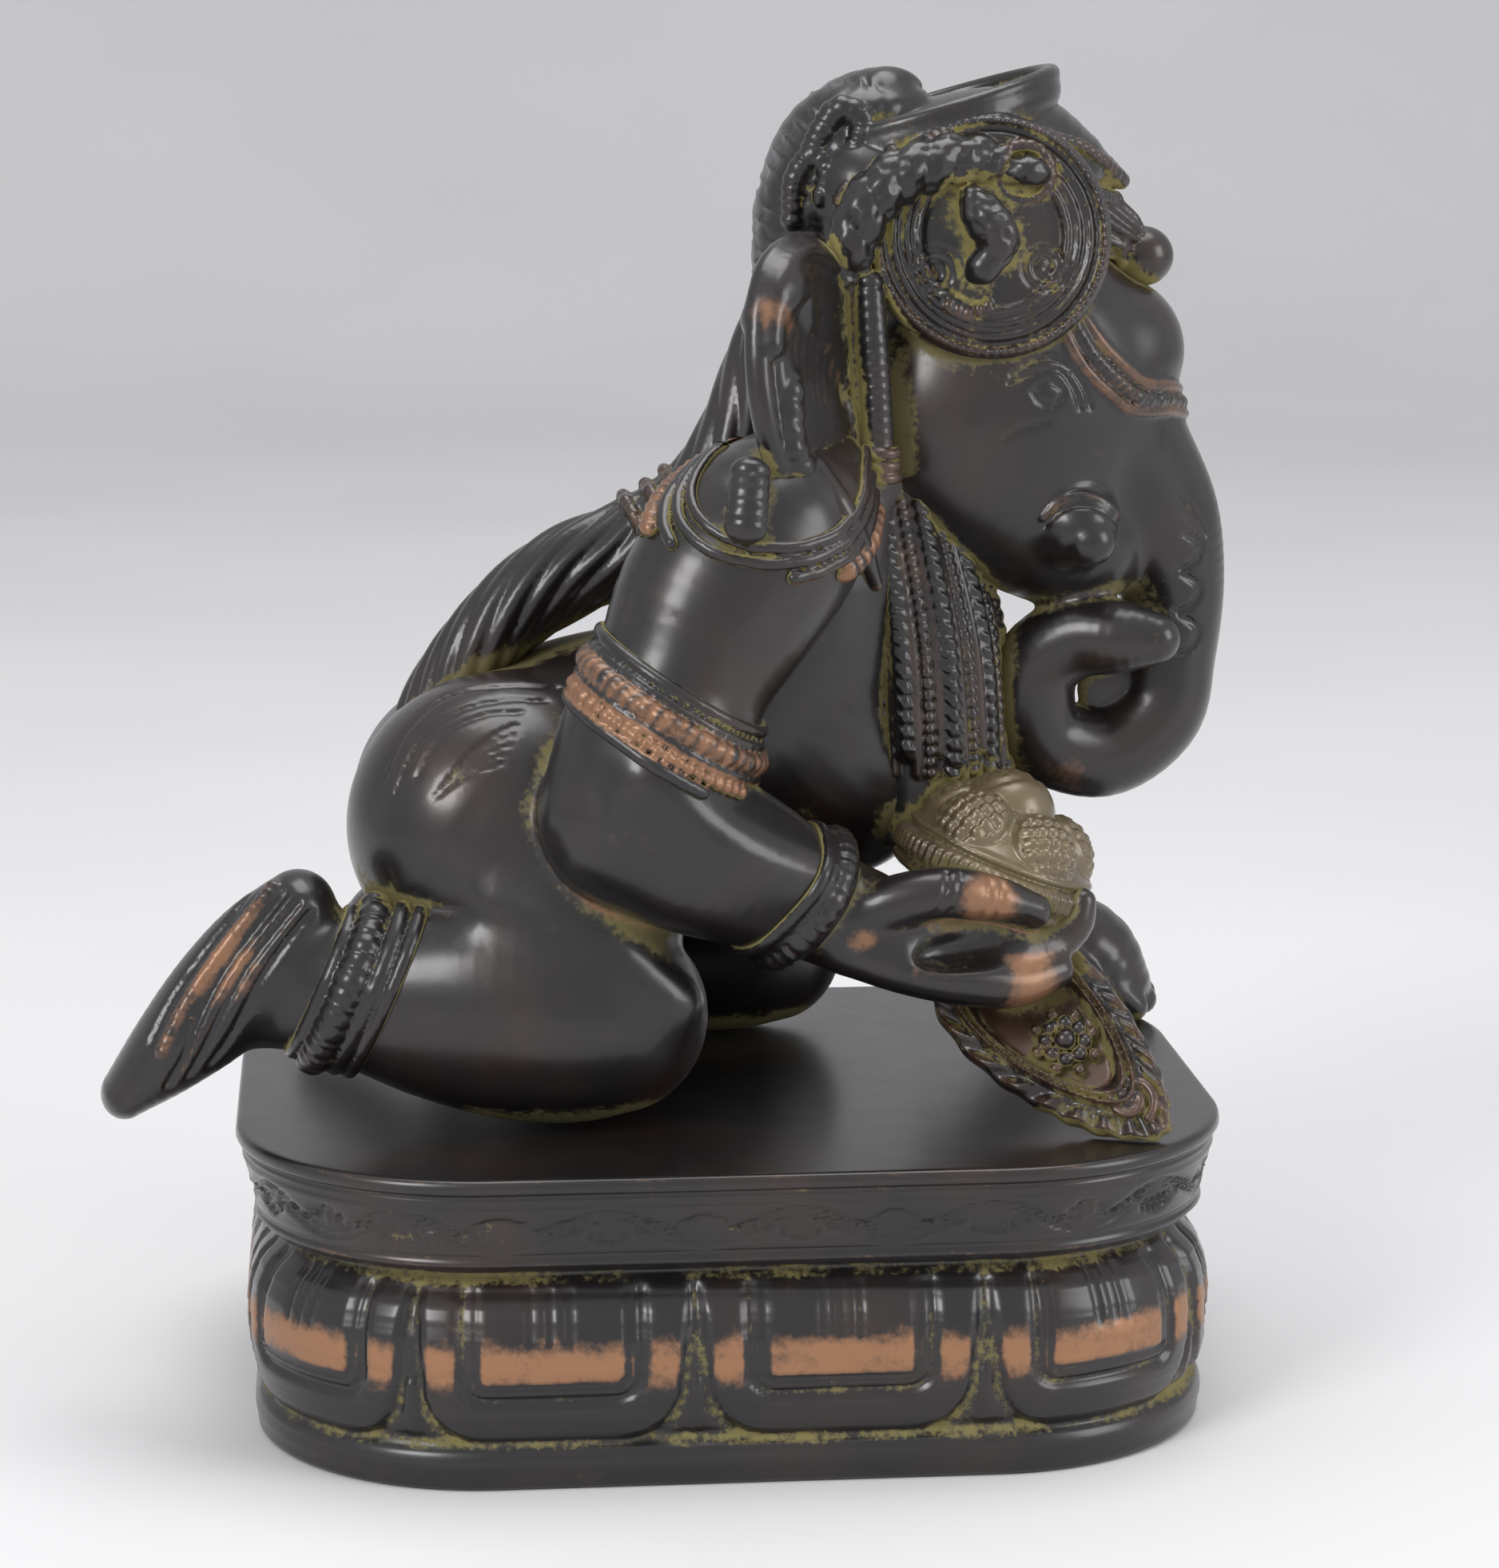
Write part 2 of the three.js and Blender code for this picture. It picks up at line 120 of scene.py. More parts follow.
def petal_relief(run, height):
    pitch = PERIMETER / PETALS
    across = (run - PETAL_START) % pitch - pitch / 2
    bulge = within(height, FOOT_TOP + 0.5, PETAL_TOP, 2.5)
    uneven = wander(run + 2 * height, 9)
    rim = rounded_box(across, height, pitch / 2 - 1.0 - 0.12 * (26 - height) + 0.3 * uneven, FOOT_TOP - 0.6,
                      10.5)
    relief = groove(rim, 1.9, 1.5) - 0.9 * within(rim, 0.5, 50, 1.4)
    under_leaf = np.abs(np.abs(across) - pitch / 2)
    relief = relief + 0.6 * within(under_leaf, -1, 1.2, 1.2) * within(height, FOOT_TOP + 2, 19, 2)
    panel = rounded_box(across, height, 15.0 + 0.5 * uneven, 16.0 + 0.4 * uneven, 4.2)
    relief = relief + groove(panel, 1.9, 1.25) + groove(panel + 2.3, 1.2, 0.8)
    top_lines = sum(groove(across - place, 1.0, 0.8) for place in (-3.2, 0.0, 3.1))
    relief = relief + top_lines * within(height, 25.5, 60, 2.5)
    return relief * bulge


def vine_relief(run, height):
    phase = 2 * np.pi * VINE_WAVES * run / PERIMETER + 0.9 * wander(run, 3)
    wave = height - VINE_HEIGHT - 0.3 * wander(run, 5) - VINE_SWING * np.sin(phase)
    relief = groove(wave - 0.7, 1.0, 0.8) + groove(wave + 0.7, 1.0, 0.8)
    relief = relief + 0.25 * within(wave, -0.3, 0.3, 0.5)
    for side in (-1, 1):
        from_crest = (phase - side * np.pi / 2 + np.pi) % (2 * np.pi) - np.pi
        across = from_crest * PERIMETER / VINE_WAVES / (2 * np.pi)
        base = VINE_HEIGHT + side * (VINE_SWING - 2.1)
        up = side * (base - height)
        tick = np.clip(np.round(across / 1.55), -2, 2)
        curl = across - 1.55 * tick - 0.10 * side * (up - 1) ** 2
        relief = relief + groove(curl, 1.0, 0.85) * within(up, -0.6, 2.8 - 0.25 * tick ** 2, 0.6)
        arc = np.hypot(across / 1.9, up + 1.2) - 2.9
        relief = relief + groove(arc, 0.8, 0.4) * within(up, -1.2, 4, 0.6)
    field = within(height, 40.2, 49.2, 0.8)
    border = groove(height - LIP_BOTTOM, 1.0, 0.9) + groove(height - 49.4, 0.8, 0.5)
    bead = 0.45 * within(height, 38.5, 39.3, 0.6) + groove(height - 40.1, 0.8, 0.5)
    return relief * field + border + bead


def mesh_piece(name, points, *faces):
    """A mesh object from points in millimetres and arrays of faces, shaded smooth."""
    mesh = bpy.data.meshes.new(name)
    corners = np.concatenate([part.ravel() for part in faces]).astype(np.int32)
    totals = np.concatenate([np.full(len(part), part.shape[1]) for part in faces]).astype(np.int32)
    starts = np.concatenate([[0], np.cumsum(totals)[:-1]]).astype(np.int32)
    mesh.vertices.add(len(points))
    mesh.vertices.foreach_set("co", (np.asarray(points) * MM).astype(np.float32).ravel())
    mesh.loops.add(len(corners))
    mesh.loops.foreach_set("vertex_index", corners)
    mesh.polygons.add(len(totals))
    mesh.polygons.foreach_set("loop_start", starts)
    mesh.polygons.foreach_set("loop_total", totals)
    mesh.polygons.foreach_set("use_smooth", np.ones(len(totals), bool))
    mesh.update(calc_edges=True)
    mesh.validate()
    made = bpy.data.objects.new(name, mesh)
    bpy.context.scene.collection.objects.link(made)
    return made


def smooth_through(stations, step):
    """A smooth line through rows that start with x, y, z, with a row about every `step` millimetres."""
    rows = np.array(stations, float)
    gaps = np.linalg.norm(np.diff(rows[:, :3], axis=0), axis=1)[:, None]
    slopes = np.diff(rows, axis=0) / gaps
    inner = (slopes[:-1] * gaps[1:] + slopes[1:] * gaps[:-1]) / (gaps[:-1] + gaps[1:])
    tangents = np.vstack([slopes[:1], inner, slopes[-1:]])
    line = []
    for i, gap in enumerate(gaps[:, 0]):
        count = max(1, math.ceil(gap / step))
        t = (np.arange(count) / count)[:, None]
        line.append(rows[i] * (1 + 2 * t) * (1 - t) ** 2 + rows[i + 1] * t * t * (3 - 2 * t)
                    + gap * (tangents[i] * t * (1 - t) ** 2 - tangents[i + 1] * t * t * (1 - t)))
    return np.vstack([*line, rows[-1:]])


# The moulding's profile, as [offset from the outline, 0, height]
plinth_profile = [
    [-9.0, 0, 0.0], [-4.2, 0, 0.0], [-3.2, 0, 0.5], [-2.8, 0, 2.0], [-2.9, 0, 6.6], [-3.7, 0, FOOT_TOP],
    [-2.6, 0, 10.5], [-1.7, 0, 15.0], [-1.4, 0, 20.0], [-1.8, 0, 26.0], [-3.6, 0, 30.8],
    [-6.6, 0, PETAL_TOP],
    [-8.2, 0, 35.8], [-7.0, 0, 36.9], [-4.6, 0, SLAB_BOTTOM], [-3.8, 0, 38.0], [-3.1, 0, 40.5],
    [-1.1, 0, 48.8],
    [-0.5, 0, LIP_BOTTOM], [-0.1, 0, 51.6], [-0.1, 0, 53.0], [-0.5, 0, 53.7], [-1.3, 0, PLINTH_TOP],
    [-6.0, 0, PLINTH_TOP],
]
profile = smooth_through(plinth_profile, PLINTH_ROW)
profile[:, 2] = np.clip(profile[:, 2], 0, PLINTH_TOP)
run, offset = np.meshgrid(np.arange(PLINTH_STEPS) / PLINTH_STEPS * PERIMETER, profile[:, 0], indexing="ij")
height = np.broadcast_to(profile[:, 2], run.shape)
chased = petal_relief(run, height) + vine_relief(run, height)
dents = 0.18 * wander(run + 40 * height, 7) * within(height, 1, 53, 1)
x, y = on_outline(run, np.minimum(offset + chased + dents, -0.02))
side = np.stack([x, y, height], -1).reshape(-1, 3)
rows = len(profile)
corner_index = np.arange(PLINTH_STEPS * rows).reshape(PLINTH_STEPS, rows)
next_index = np.roll(corner_index, -1, axis=0)
walls = np.stack([corner_index[:, :-1], next_index[:, :-1], next_index[:, 1:], corner_index[:, 1:]],
                 -1).reshape(-1, 4)
middles = len(side) + np.arange(2)
top_fan = np.stack([corner_index[:, -1], next_index[:, -1], np.full(PLINTH_STEPS, middles[1])], -1)
under_fan = np.stack([next_index[:, 0], corner_index[:, 0], np.full(PLINTH_STEPS, middles[0])], -1)
plinth = mesh_piece("lotus_plinth", np.vstack([side, [[0, 0, 0], [0, 0, PLINTH_TOP]]]), walls, top_fan,
                    under_fan)


def mark(piece, name, values):
    """Keeps one number for each point of a piece, for its finish to read."""
    layer = piece.data.attributes.new(name, "FLOAT", "POINT")
    layer.data.foreach_set("value", np.asarray(values, np.float32).ravel())


crevice = within(height, FOOT_TOP - 1.0, FOOT_TOP + 1.2, 1.6) + within(height, PETAL_TOP, SLAB_BOTTOM + 0.4,
                                                                       1.5)
hollow = np.clip(-chased / 1.6, 0, 1) * 0.62 + 0.55 * crevice
patchy = 0.5 + 0.5 * wander(run + 15 * height, 21)
worn = within(height, 17.5, 26.0, 7.0) * (0.60 + 0.5 * patchy) * np.clip(1.05 + chased * 1.6, 0, 1)
worn = worn + 0.35 * within(height, 53.2, 53.8, 0.5) + 0.3 * within(height, 38, 39.4, 0.5)
mark(plinth, "hollow", np.append(hollow.ravel(), [0, 0]))
mark(plinth, "worn", np.append(worn.ravel(), [0, 0]))


class Value:
    """A number that changes over a surface. A sum written on it adds its Math nodes."""

    def __init__(self, finish, socket):
        self.finish = finish
        self.socket = socket

    def maths(self, operation, first, second):
        return self.finish.node("ShaderNodeMath", {"operation": operation}, {0: first, 1: second})

    def __add__(self, other):
        return self.maths("ADD", self, other)

    __radd__ = __add__

    def __mul__(self, other):
        return self.maths("MULTIPLY", self, other)

    __rmul__ = __mul__

    def __sub__(self, other):
        return self.maths("SUBTRACT", self, other)

    def __rsub__(self, other):
        return self.maths("SUBTRACT", other, self)

    def held(self):
        return self.finish.node("ShaderNodeMath", {"operation": "ADD", "use_clamp": True},
                                {0: self, 1: 0.0})

    def over(self, low, high):
        """0 below low, 1 above high, and a smooth rise between."""
        return self.finish.node("ShaderNodeMapRange", {"interpolation_type": "SMOOTHSTEP"},
                                {0: self, 1: low, 2: high, 3: 0.0, 4: 1.0})


class Finish:
    """One surface finish, built node by node."""

    def __init__(self, name):
        self.material = bpy.data.materials.new(name)
        self.material.use_nodes = True
        self.nodes = self.material.node_tree.nodes
        self.links = self.material.node_tree.links
        self.shader = self.nodes["Principled BSDF"]

    def node(self, kind, settings=None, sockets=None, output=0):
        """A node of that type, its settings made first and then the values or links of its sockets."""
        node = self.nodes.new(kind)
        for key, value in (settings or {}).items():
            setattr(node, key, value)
        for key, value in (sockets or {}).items():
            self.feed(node.inputs[key], value)
        return Value(self, node.outputs[output])

    def feed(self, socket, value):
        if isinstance(value, Value):
            self.links.new(value.socket, socket)
        else:
            socket.default_value = value

    def noise(self, size, detail=3.0, roughness=0.55):
        """Noise with features about `size` millimetres across."""
        place = self.node("ShaderNodeTexCoord", output="Object")
        return self.node("ShaderNodeTexNoise", None,
                         {"Vector": place, "Scale": 1 / (size * MM), "Detail": detail,
                          "Roughness": roughness})

    def mark(self, name):
        return self.node("ShaderNodeAttribute", {"attribute_name": name}, output="Fac")

    def mix(self, share, first, second):
        return self.node("ShaderNodeMix", {"data_type": "RGBA"}, {0: share, 6: first, 7: second}, output=2)


DARK_PATINA = (0.011, 0.009, 0.010, 1)
BROWN_PATINA = (0.030, 0.017, 0.014, 1)
RED_BROWN = (0.075, 0.036, 0.024, 1)
RESIDUE = (0.235, 0.200, 0.070, 1)
OLD_RESIDUE = (0.075, 0.066, 0.036, 1)
COPPER_RUB = (0.33, 0.165, 0.085, 1)


def patina(name, residue=0.5, rub=0.5, residue_colour=RESIDUE, rub_colour=COPPER_RUB, grain=0.2,
           base=DARK_PATINA):
    """Dark cast brass, with residue left in its hollows and the patina rubbed through where hands reach."""
    finish = Finish(name)
    broad = finish.noise(30, 3)
    patches = finish.noise(8, 4, 0.6)
    fine = finish.noise(1.2, 4, 0.65)
    hollow = finish.mark("hollow")
    worn = finish.mark("worn")
    colour = finish.mix(broad.over(0.45, 0.70) * 0.8, base, BROWN_PATINA)
    colour = finish.mix((patches.over(0.58, 0.74) * fine.over(0.45, 0.6)) * 0.35, colour, RED_BROWN)
    old = ((hollow + patches * 0.8 + fine * 0.4 - 0.75).over(0.25, 0.70) * (0.35 + residue * 0.6)).held()
    colour = finish.mix(old * 0.85, colour, OLD_RESIDUE)
    fresh = ((hollow + broad * 1.1 + patches * 0.8 + fine * 1.1 - 1.65).over(0.30, 0.66) * residue).held()
    colour = finish.mix(fresh, colour, residue_colour)
    bare = ((worn * 1.25 + patches * 1.1 + fine * 0.7 - 1.05).over(0.25, 0.90) * rub * (1 - fresh)).held()
    colour = finish.mix(bare, colour, rub_colour)
    finish.feed(finish.shader.inputs["Base Color"], colour)
    finish.feed(finish.shader.inputs["Metallic"], (0.35 + bare * 0.25 - fresh * 0.35 - old * 0.2).held())
    finish.feed(finish.shader.inputs["Roughness"],
                (0.27 + patches * 0.12 + fine * 0.08 + fresh * 0.45 + old * 0.25 + bare * 0.10).held())
    finish.feed(finish.shader.inputs["Coat Weight"], (0.6 - fresh * 0.6 - old * 0.45 - bare * 0.3).held())
    finish.shader.inputs["Coat Roughness"].default_value = 0.22
    height = broad * 0.2 + patches * 0.15 + fine * grain
    finish.feed(finish.shader.inputs["Normal"],
                finish.node("ShaderNodeBump", None, {"Strength": 0.3, "Distance": 0.0004,
                                                     "Height": height}))
    return finish.material


plinth.data.materials.append(patina("plinth_patina", residue=0.75, rub=1.0))
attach(plinth, "root")
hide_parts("plinth")


# The kneeling body is modelled in wax over a core and cast in brass: the torso, the hips, both legs, the
# folds chased over the hips and the lines round the right ankle. The wax is kept as distances on a grid,
# below zero inside it, and the skin where they pass zero becomes the piece's mesh.
FAR = 9.0
BODY_GRAIN = 0.62
SEAT = PLINTH_TOP + 0.3
HIP_RIGHT = (-38, -15, 103.5)
HIP_LEFT = (-34, 20, 103)


def square_to(right, up):
    """Three directions square to each other: along right, as near up as can be, and across both."""
    right = np.array(right, float) / np.linalg.norm(right)
    up = np.array(up, float) - right * right.dot(up)
    up /= np.linalg.norm(up)
    return right, up, np.cross(right, up)


def meet(first, second, soft):
    """The lesser of two distances, with the seam between them rounded over about `soft`."""
    if not soft:
        return np.minimum(first, second)
    share = np.clip(0.5 + 0.5 * (second - first) / soft, 0, 1)
    return second + (first - second) * share - soft * share * (1 - share)


class Wax:
    """A block of wax on a grid, between two corners in millimetres."""

    def __init__(self, low, high, grain):
        self.low = np.array(low, float)
        self.grain = grain
        size = np.ceil((np.array(high) - self.low) / grain).astype(int) + 1
        self.field = np.full(size, FAR, np.float32)

    def window(self, low, high):
        """The part of the grid between two corners, and its x, y and z."""
        first = np.maximum(np.floor((low - self.low) / self.grain).astype(int), 0)
        last = np.minimum(np.ceil((high - self.low) / self.grain).astype(int) + 1, self.field.shape)
        last = np.maximum(last, first)
        axes = [(self.low[k] + self.grain * np.arange(first[k],
                                                      last[k])).astype(np.float32) for k in range(3)]
        place = tuple(slice(a, b) for a, b in zip(first, last))
        return place, np.meshgrid(*axes, indexing="ij", sparse=True)

    def scrap(self, low, high):
        """An empty block of the same grain that covers part of this one."""
        place, _ = self.window(low, high)
        block = Wax((0, 0, 0), (0, 0, 0), self.grain)
        block.low = self.low + self.grain * np.array([part.start for part in place])
        block.field = np.full([part.stop - part.start for part in place], FAR, np.float32)
        return block, place

    def join(self, place, shape, soft=0.0):
        self.field[place] = meet(self.field[place], shape, soft)

    def cut(self, place, shape, soft=0.0):
        self.field[place] = -meet(-self.field[place], shape, soft)

    def trim(self, floor):
        """Cuts away whatever lies below a level."""
        place, (_, _, z) = self.window(self.low, self.low + self.grain * np.array(self.field.shape))
        self.cut(place, z - floor)

    def ball(self, at, radii, soft=0.0, turn=0.0, cut=False):
        """An ellipsoid, turned about the y axis by some degrees."""
        at, radii = np.array(at, float), np.broadcast_to(np.array(radii, float), 3)
        reach = radii.max() + soft + 3 * self.grain
        place, (x, y, z) = self.window(at - reach, at + reach)
        x, y, z = x - at[0], y - at[1], z - at[2]
        c, s = math.cos(math.radians(turn)), math.sin(math.radians(turn))
        u, w = (c * x + s * z) / radii[0], (c * z - s * x) / radii[2]
        v = y / radii[1]
        near = np.sqrt(u * u + v * v + w * w) + 1e-6
        steep = np.sqrt((u / radii[0]) ** 2 + (v / radii[1]) ** 2 + (w / radii[2]) ** 2) + 1e-6
        shape = (near * (near - 1) / steep).astype(np.float32)
        (self.cut if cut else self.join)(place, shape, soft)

    def form(self, at, right, up, reach, shape, soft=0.0):
        """A form given as a distance shape(u, v, w) in a frame of its own, u along right and v along up."""
        at = np.array(at, float)
        place, (x, y, z) = self.window(at - reach, at + reach)
        x, y, z = x - at[0], y - at[1], z - at[2]
        u, v, w = (x * axis[0] + y * axis[1] + z * axis[2] for axis in square_to(right, up))
        self.join(place, shape(u, v, w).astype(np.float32), soft)

    def strand(self, stations, soft=0.0, side=(0, 1, 0), step=1.5, relief=None, cut=False):
        """A limb, cord or ridge along a smooth line. Stations are x, y, z, half width along side, half height.
        relief(run, angle) raises its surface by the distance along it and the angle round it."""
        rows = [[*s, s[3]] if len(s) == 4 else list(s) for s in stations]
        line = smooth_through(rows, step)
        extra = soft + 3 * self.grain + (1.5 if relief else 0)
        reach = line[:, 3:].max(axis=1) + extra
        block, place = self.scrap((line[:, :3] - reach[:, None]).min(0),
                                  (line[:, :3] + reach[:, None]).max(0))
        side = np.array(side, float)
        run = 0.0
        for start, end in zip(line[:-1], line[1:]):
            a, b = start[:3], end[:3]
            length = np.linalg.norm(b - a)
            ahead = (b - a) / length
            wide = side - side.dot(ahead) * ahead
            wide = wide / np.linalg.norm(wide)
            high = np.cross(ahead, wide)
            grow = max(start[3:].max(), end[3:].max()) + extra
            part, (x, y, z) = block.window(np.minimum(a, b) - grow, np.maximum(a, b) + grow)
            x, y, z = x - a[0], y - a[1], z - a[2]
            along = x * ahead[0] + y * ahead[1] + z * ahead[2]
            t = np.clip(along / length, 0, 1)
            beyond = along - t * length
            across = x * wide[0] + y * wide[1] + z * wide[2]
            up = x * high[0] + y * high[1] + z * high[2]
            half_wide = start[3] + (end[3] - start[3]) * t
            half_high = start[4] + (end[4] - start[4]) * t
            cap = np.minimum(half_wide, half_high)
            u, v, w = across / half_wide, up / half_high, beyond / cap
            near = np.sqrt(u * u + v * v + w * w) + 1e-6
            steep = np.sqrt((u / half_wide) ** 2 + (v / half_high) ** 2 + (w / cap) ** 2) + 1e-6
            shape = near * (near - 1) / steep
            if relief:
                shape = shape - relief(run + t * length, np.arctan2(v, u))
            block.join(part, shape.astype(np.float32))
            run += length
        (self.cut if cut else self.join)(place, block.field, soft)

    def beads(self, line, radius, pitch, soft=0.0):
        """A row of beads along a line of points."""
        for at in evenly(line, pitch):
            self.ball(at, radius, soft)

    def at(self, points):
        """The distance kept at each point, or FAR off the grid."""
        place = (np.asarray(points) - self.low) / self.grain
        top = np.array(self.field.shape) - 1.001
        inside = np.all((place >= 0) & (place <= top), axis=1)
        place = np.clip(place, 0, top)
        cell = place.astype(int)
        share = place - cell
        total = np.zeros(len(place))
        for corner in itertools.product((0, 1), repeat=3):
            weight = np.prod(np.where(corner, share, 1 - share), axis=1)
            total += weight * self.field[tuple((cell + corner).T)]
        return np.where(inside, total, FAR)

    def slope(self, points):
        steps = np.eye(3) * self.grain
        return np.stack([self.at(points + s) - self.at(points - s) for s in steps], -1) / (2 * self.grain)

    def touch(self, points, toward):
        """Moves each point along `toward` until it meets the wax."""
        points = np.array(points, float)
        toward = np.broadcast_to(np.array(toward, float), points.shape).copy()
        toward /= np.linalg.norm(toward, axis=1)[:, None]
        for _ in range(120):
            gap = self.at(points)
            points += toward * np.clip(gap * 0.8, -0.4, 4)[:, None]
        return points

    def rim(self, centre, axis, most, count=60):
        """Where a plane across a limb meets its surface, found from a point inside the limb."""
        axis = np.array(axis, float) / np.linalg.norm(axis)
        right = np.cross(axis, (0, 1, 0) if abs(axis[1]) < 0.8 else (1, 0, 0))
        right /= np.linalg.norm(right)
        up = np.cross(axis, right)
        angle = np.radians(360 * np.arange(count + 1) / count)
        out = np.cos(angle)[:, None] * right + np.sin(angle)[:, None] * up
        far = np.zeros(count + 1)
        going = np.ones(count + 1, bool)
        while going.any() and far.max() < most:
            far[going] += 0.2
            going &= (self.at(np.array(centre) + out * far[:, None]) < 0) & (far < most)
        return np.array(centre) + out * far[:, None]


def evenly(line, pitch):
    """Points along a line, `pitch` apart."""
    line = np.asarray(line, float)
    run = np.concatenate([[0], np.cumsum(np.linalg.norm(np.diff(line, axis=0), axis=1))])
    stops = np.linspace(0, run[-1], max(2, round(run[-1] / pitch) + 1))
    return np.stack([np.interp(stops, run, line[:, k]) for k in range(3)], -1)


def sized(line, *sizes):
    """Adds a half width, and a half height where it differs, to each point of a line."""
    line = np.asarray(line, float)
    return np.hstack([line, np.broadcast_to(sizes, (len(line), len(sizes)))])


def ribbed(pitch, depth):
    return lambda run, angle: depth * np.cos(2 * np.pi * run / pitch)


def twisted(pitch, strands, depth):
    return lambda run, angle: depth * np.cos(2 * np.pi * run / pitch + strands * angle)


def engrave(wax, line, toward, width, depth):
    """Chases a line into the wax: its points are moved along `toward` to the surface first."""
    line = smooth_through(line, 0.8)[:, :3]
    toward = np.array(toward, float) / np.linalg.norm(toward)
    radius = width / 2 + depth / 4
    course = wax.touch(line, toward) - toward * (radius - depth)
    wax.strand(sized(course, radius), step=2, cut=True, soft=0.25)


def chase(wax, away, points, width, depth):
    """Chases a line of x and z into one side of the figure, from a distance `away` out along y."""
    engrave(wax, [(px, away, pz) for px, pz in points], (0, -np.sign(away), 0), width, depth)


def raise_line(wax, line, toward, radius=0.8, sink=0.2, relief=None):
    """Lays a raised line on the wax."""
    line = smooth_through(line, 0.9)[:, :3]
    toward = np.array(toward, float) / np.linalg.norm(toward)
    course = wax.touch(line, toward) + toward * sink
    wax.strand(sized(course, radius), step=2, soft=0.4, relief=relief)


CELL_CORNERS = np.array(list(itertools.product((0, 1), repeat=3)))
CELL_EDGES = [(a, b) for a, b in itertools.combinations(range(8), 2)
              if abs(CELL_CORNERS[a] - CELL_CORNERS[b]).sum() == 1]


def skin_of(wax):
    """Points and four-sided faces where the wax's distances pass zero."""
    field = wax.field
    solid = field < 0
    cells_each_way = [n - 1 for n in field.shape]
    count = np.zeros(cells_each_way, np.int8)
    for corner in CELL_CORNERS:
        count += solid[tuple(slice(c, c + n) for c, n in zip(corner, cells_each_way))]
    cells = np.argwhere((count > 0) & (count < 8))
    values = np.stack([field[tuple((cells + corner).T)] for corner in CELL_CORNERS], 1)
    total = np.zeros((len(cells), 3))
    crossings = np.zeros(len(cells))
    for a, b in CELL_EDGES:
        crossed = (values[:, a] < 0) != (values[:, b] < 0)
        share = values[crossed, a] / (values[crossed, a] - values[crossed, b])
        total[crossed] += CELL_CORNERS[a] + share[:, None] * (CELL_CORNERS[b] - CELL_CORNERS[a])
        crossings[crossed] += 1
    points = wax.low + wax.grain * (cells + total / crossings[:, None])
    number = np.full(cells_each_way, -1, np.int32)
    number[tuple(cells.T)] = np.arange(len(cells))
    faces = []
    for axis in range(3):
        near = solid.take(range(0, field.shape[axis] - 1), axis)
        far = solid.take(range(1, field.shape[axis]), axis)
        edges = np.argwhere(near != far)
        others = [k for k in range(3) if k != axis]
        limits = np.array(cells_each_way)
        keep = np.all((edges[:, others] > 0) & (edges[:, others] < limits[others]), axis=1)
        edges = edges[keep]
        u, v = np.eye(3, dtype=int)[others]
        ring = np.stack([number[tuple((edges - back).T)] for back in (0 * u, u, u + v, v)], 1)
        outward = near[tuple(edges.T)] != (axis == 1)
        faces.append(np.where(outward[:, None], ring, ring[:, ::-1]))
    return points, np.vstack(faces)


def settle(wax, points, passes=2):
    """Draws points onto the surface where the distance is zero."""
    for _ in range(passes):
        slope = wax.slope(points)
        size = np.maximum((slope ** 2).sum(1), 0.1)
        pull = np.clip(wax.at(points) / size, -0.5 * wax.grain, 0.5 * wax.grain)
        points = points - slope * pull[:, None]
    return points


def cast(wax, name, most):
    """Casts a block of wax as a piece of at most about that many triangles."""
    points, faces = skin_of(wax)
    points = settle(wax, points)
    piece = mesh_piece(name, points, faces)
    if 2 * len(faces) > most:
        thin = piece.modifiers.new("thin", "DECIMATE")
        thin.ratio = most / (2 * len(faces))
        view = bpy.context.evaluated_depsgraph_get()
        thinned = bpy.data.meshes.new_from_object(piece.evaluated_get(view))
        piece.modifiers.clear()
        piece.data = thinned
        piece.data.polygons.foreach_set("use_smooth", np.ones(len(thinned.polygons), bool))
    waxes[name] = wax
    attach(piece, "root")
    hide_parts("figure")
    return piece


waxes = {}
body = Wax((-109.5, -63, 53.5), (94, 56, 178), BODY_GRAIN)
body.strand([[-42, 3, 104, 27, 22], [-24, 3, 108, 28, 24.3], [-8, 2, 113, 29, 24], [6, 0, 124, 27, 26],
             [14, 0, 143, 26, 21], [22, 0, 160, 20, 15], [32, 0, 172, 18, 15]], step=3)
body.ball((20, 0, 109), (19, 21, 19), soft=8)
body.ball(HIP_RIGHT, (26.6, 22.4, 26.0), soft=5)
body.ball(HIP_LEFT, (26, 21, 25), soft=5)


# Thighs first, then the shins laid along the plinth with a clear crease where calf meets thigh
def leg(thigh, shin, foot):
    body.strand(thigh, soft=5, step=3)
    body.strand(shin, soft=1.4, step=2.5)
    body.strand(foot, soft=3, step=2)


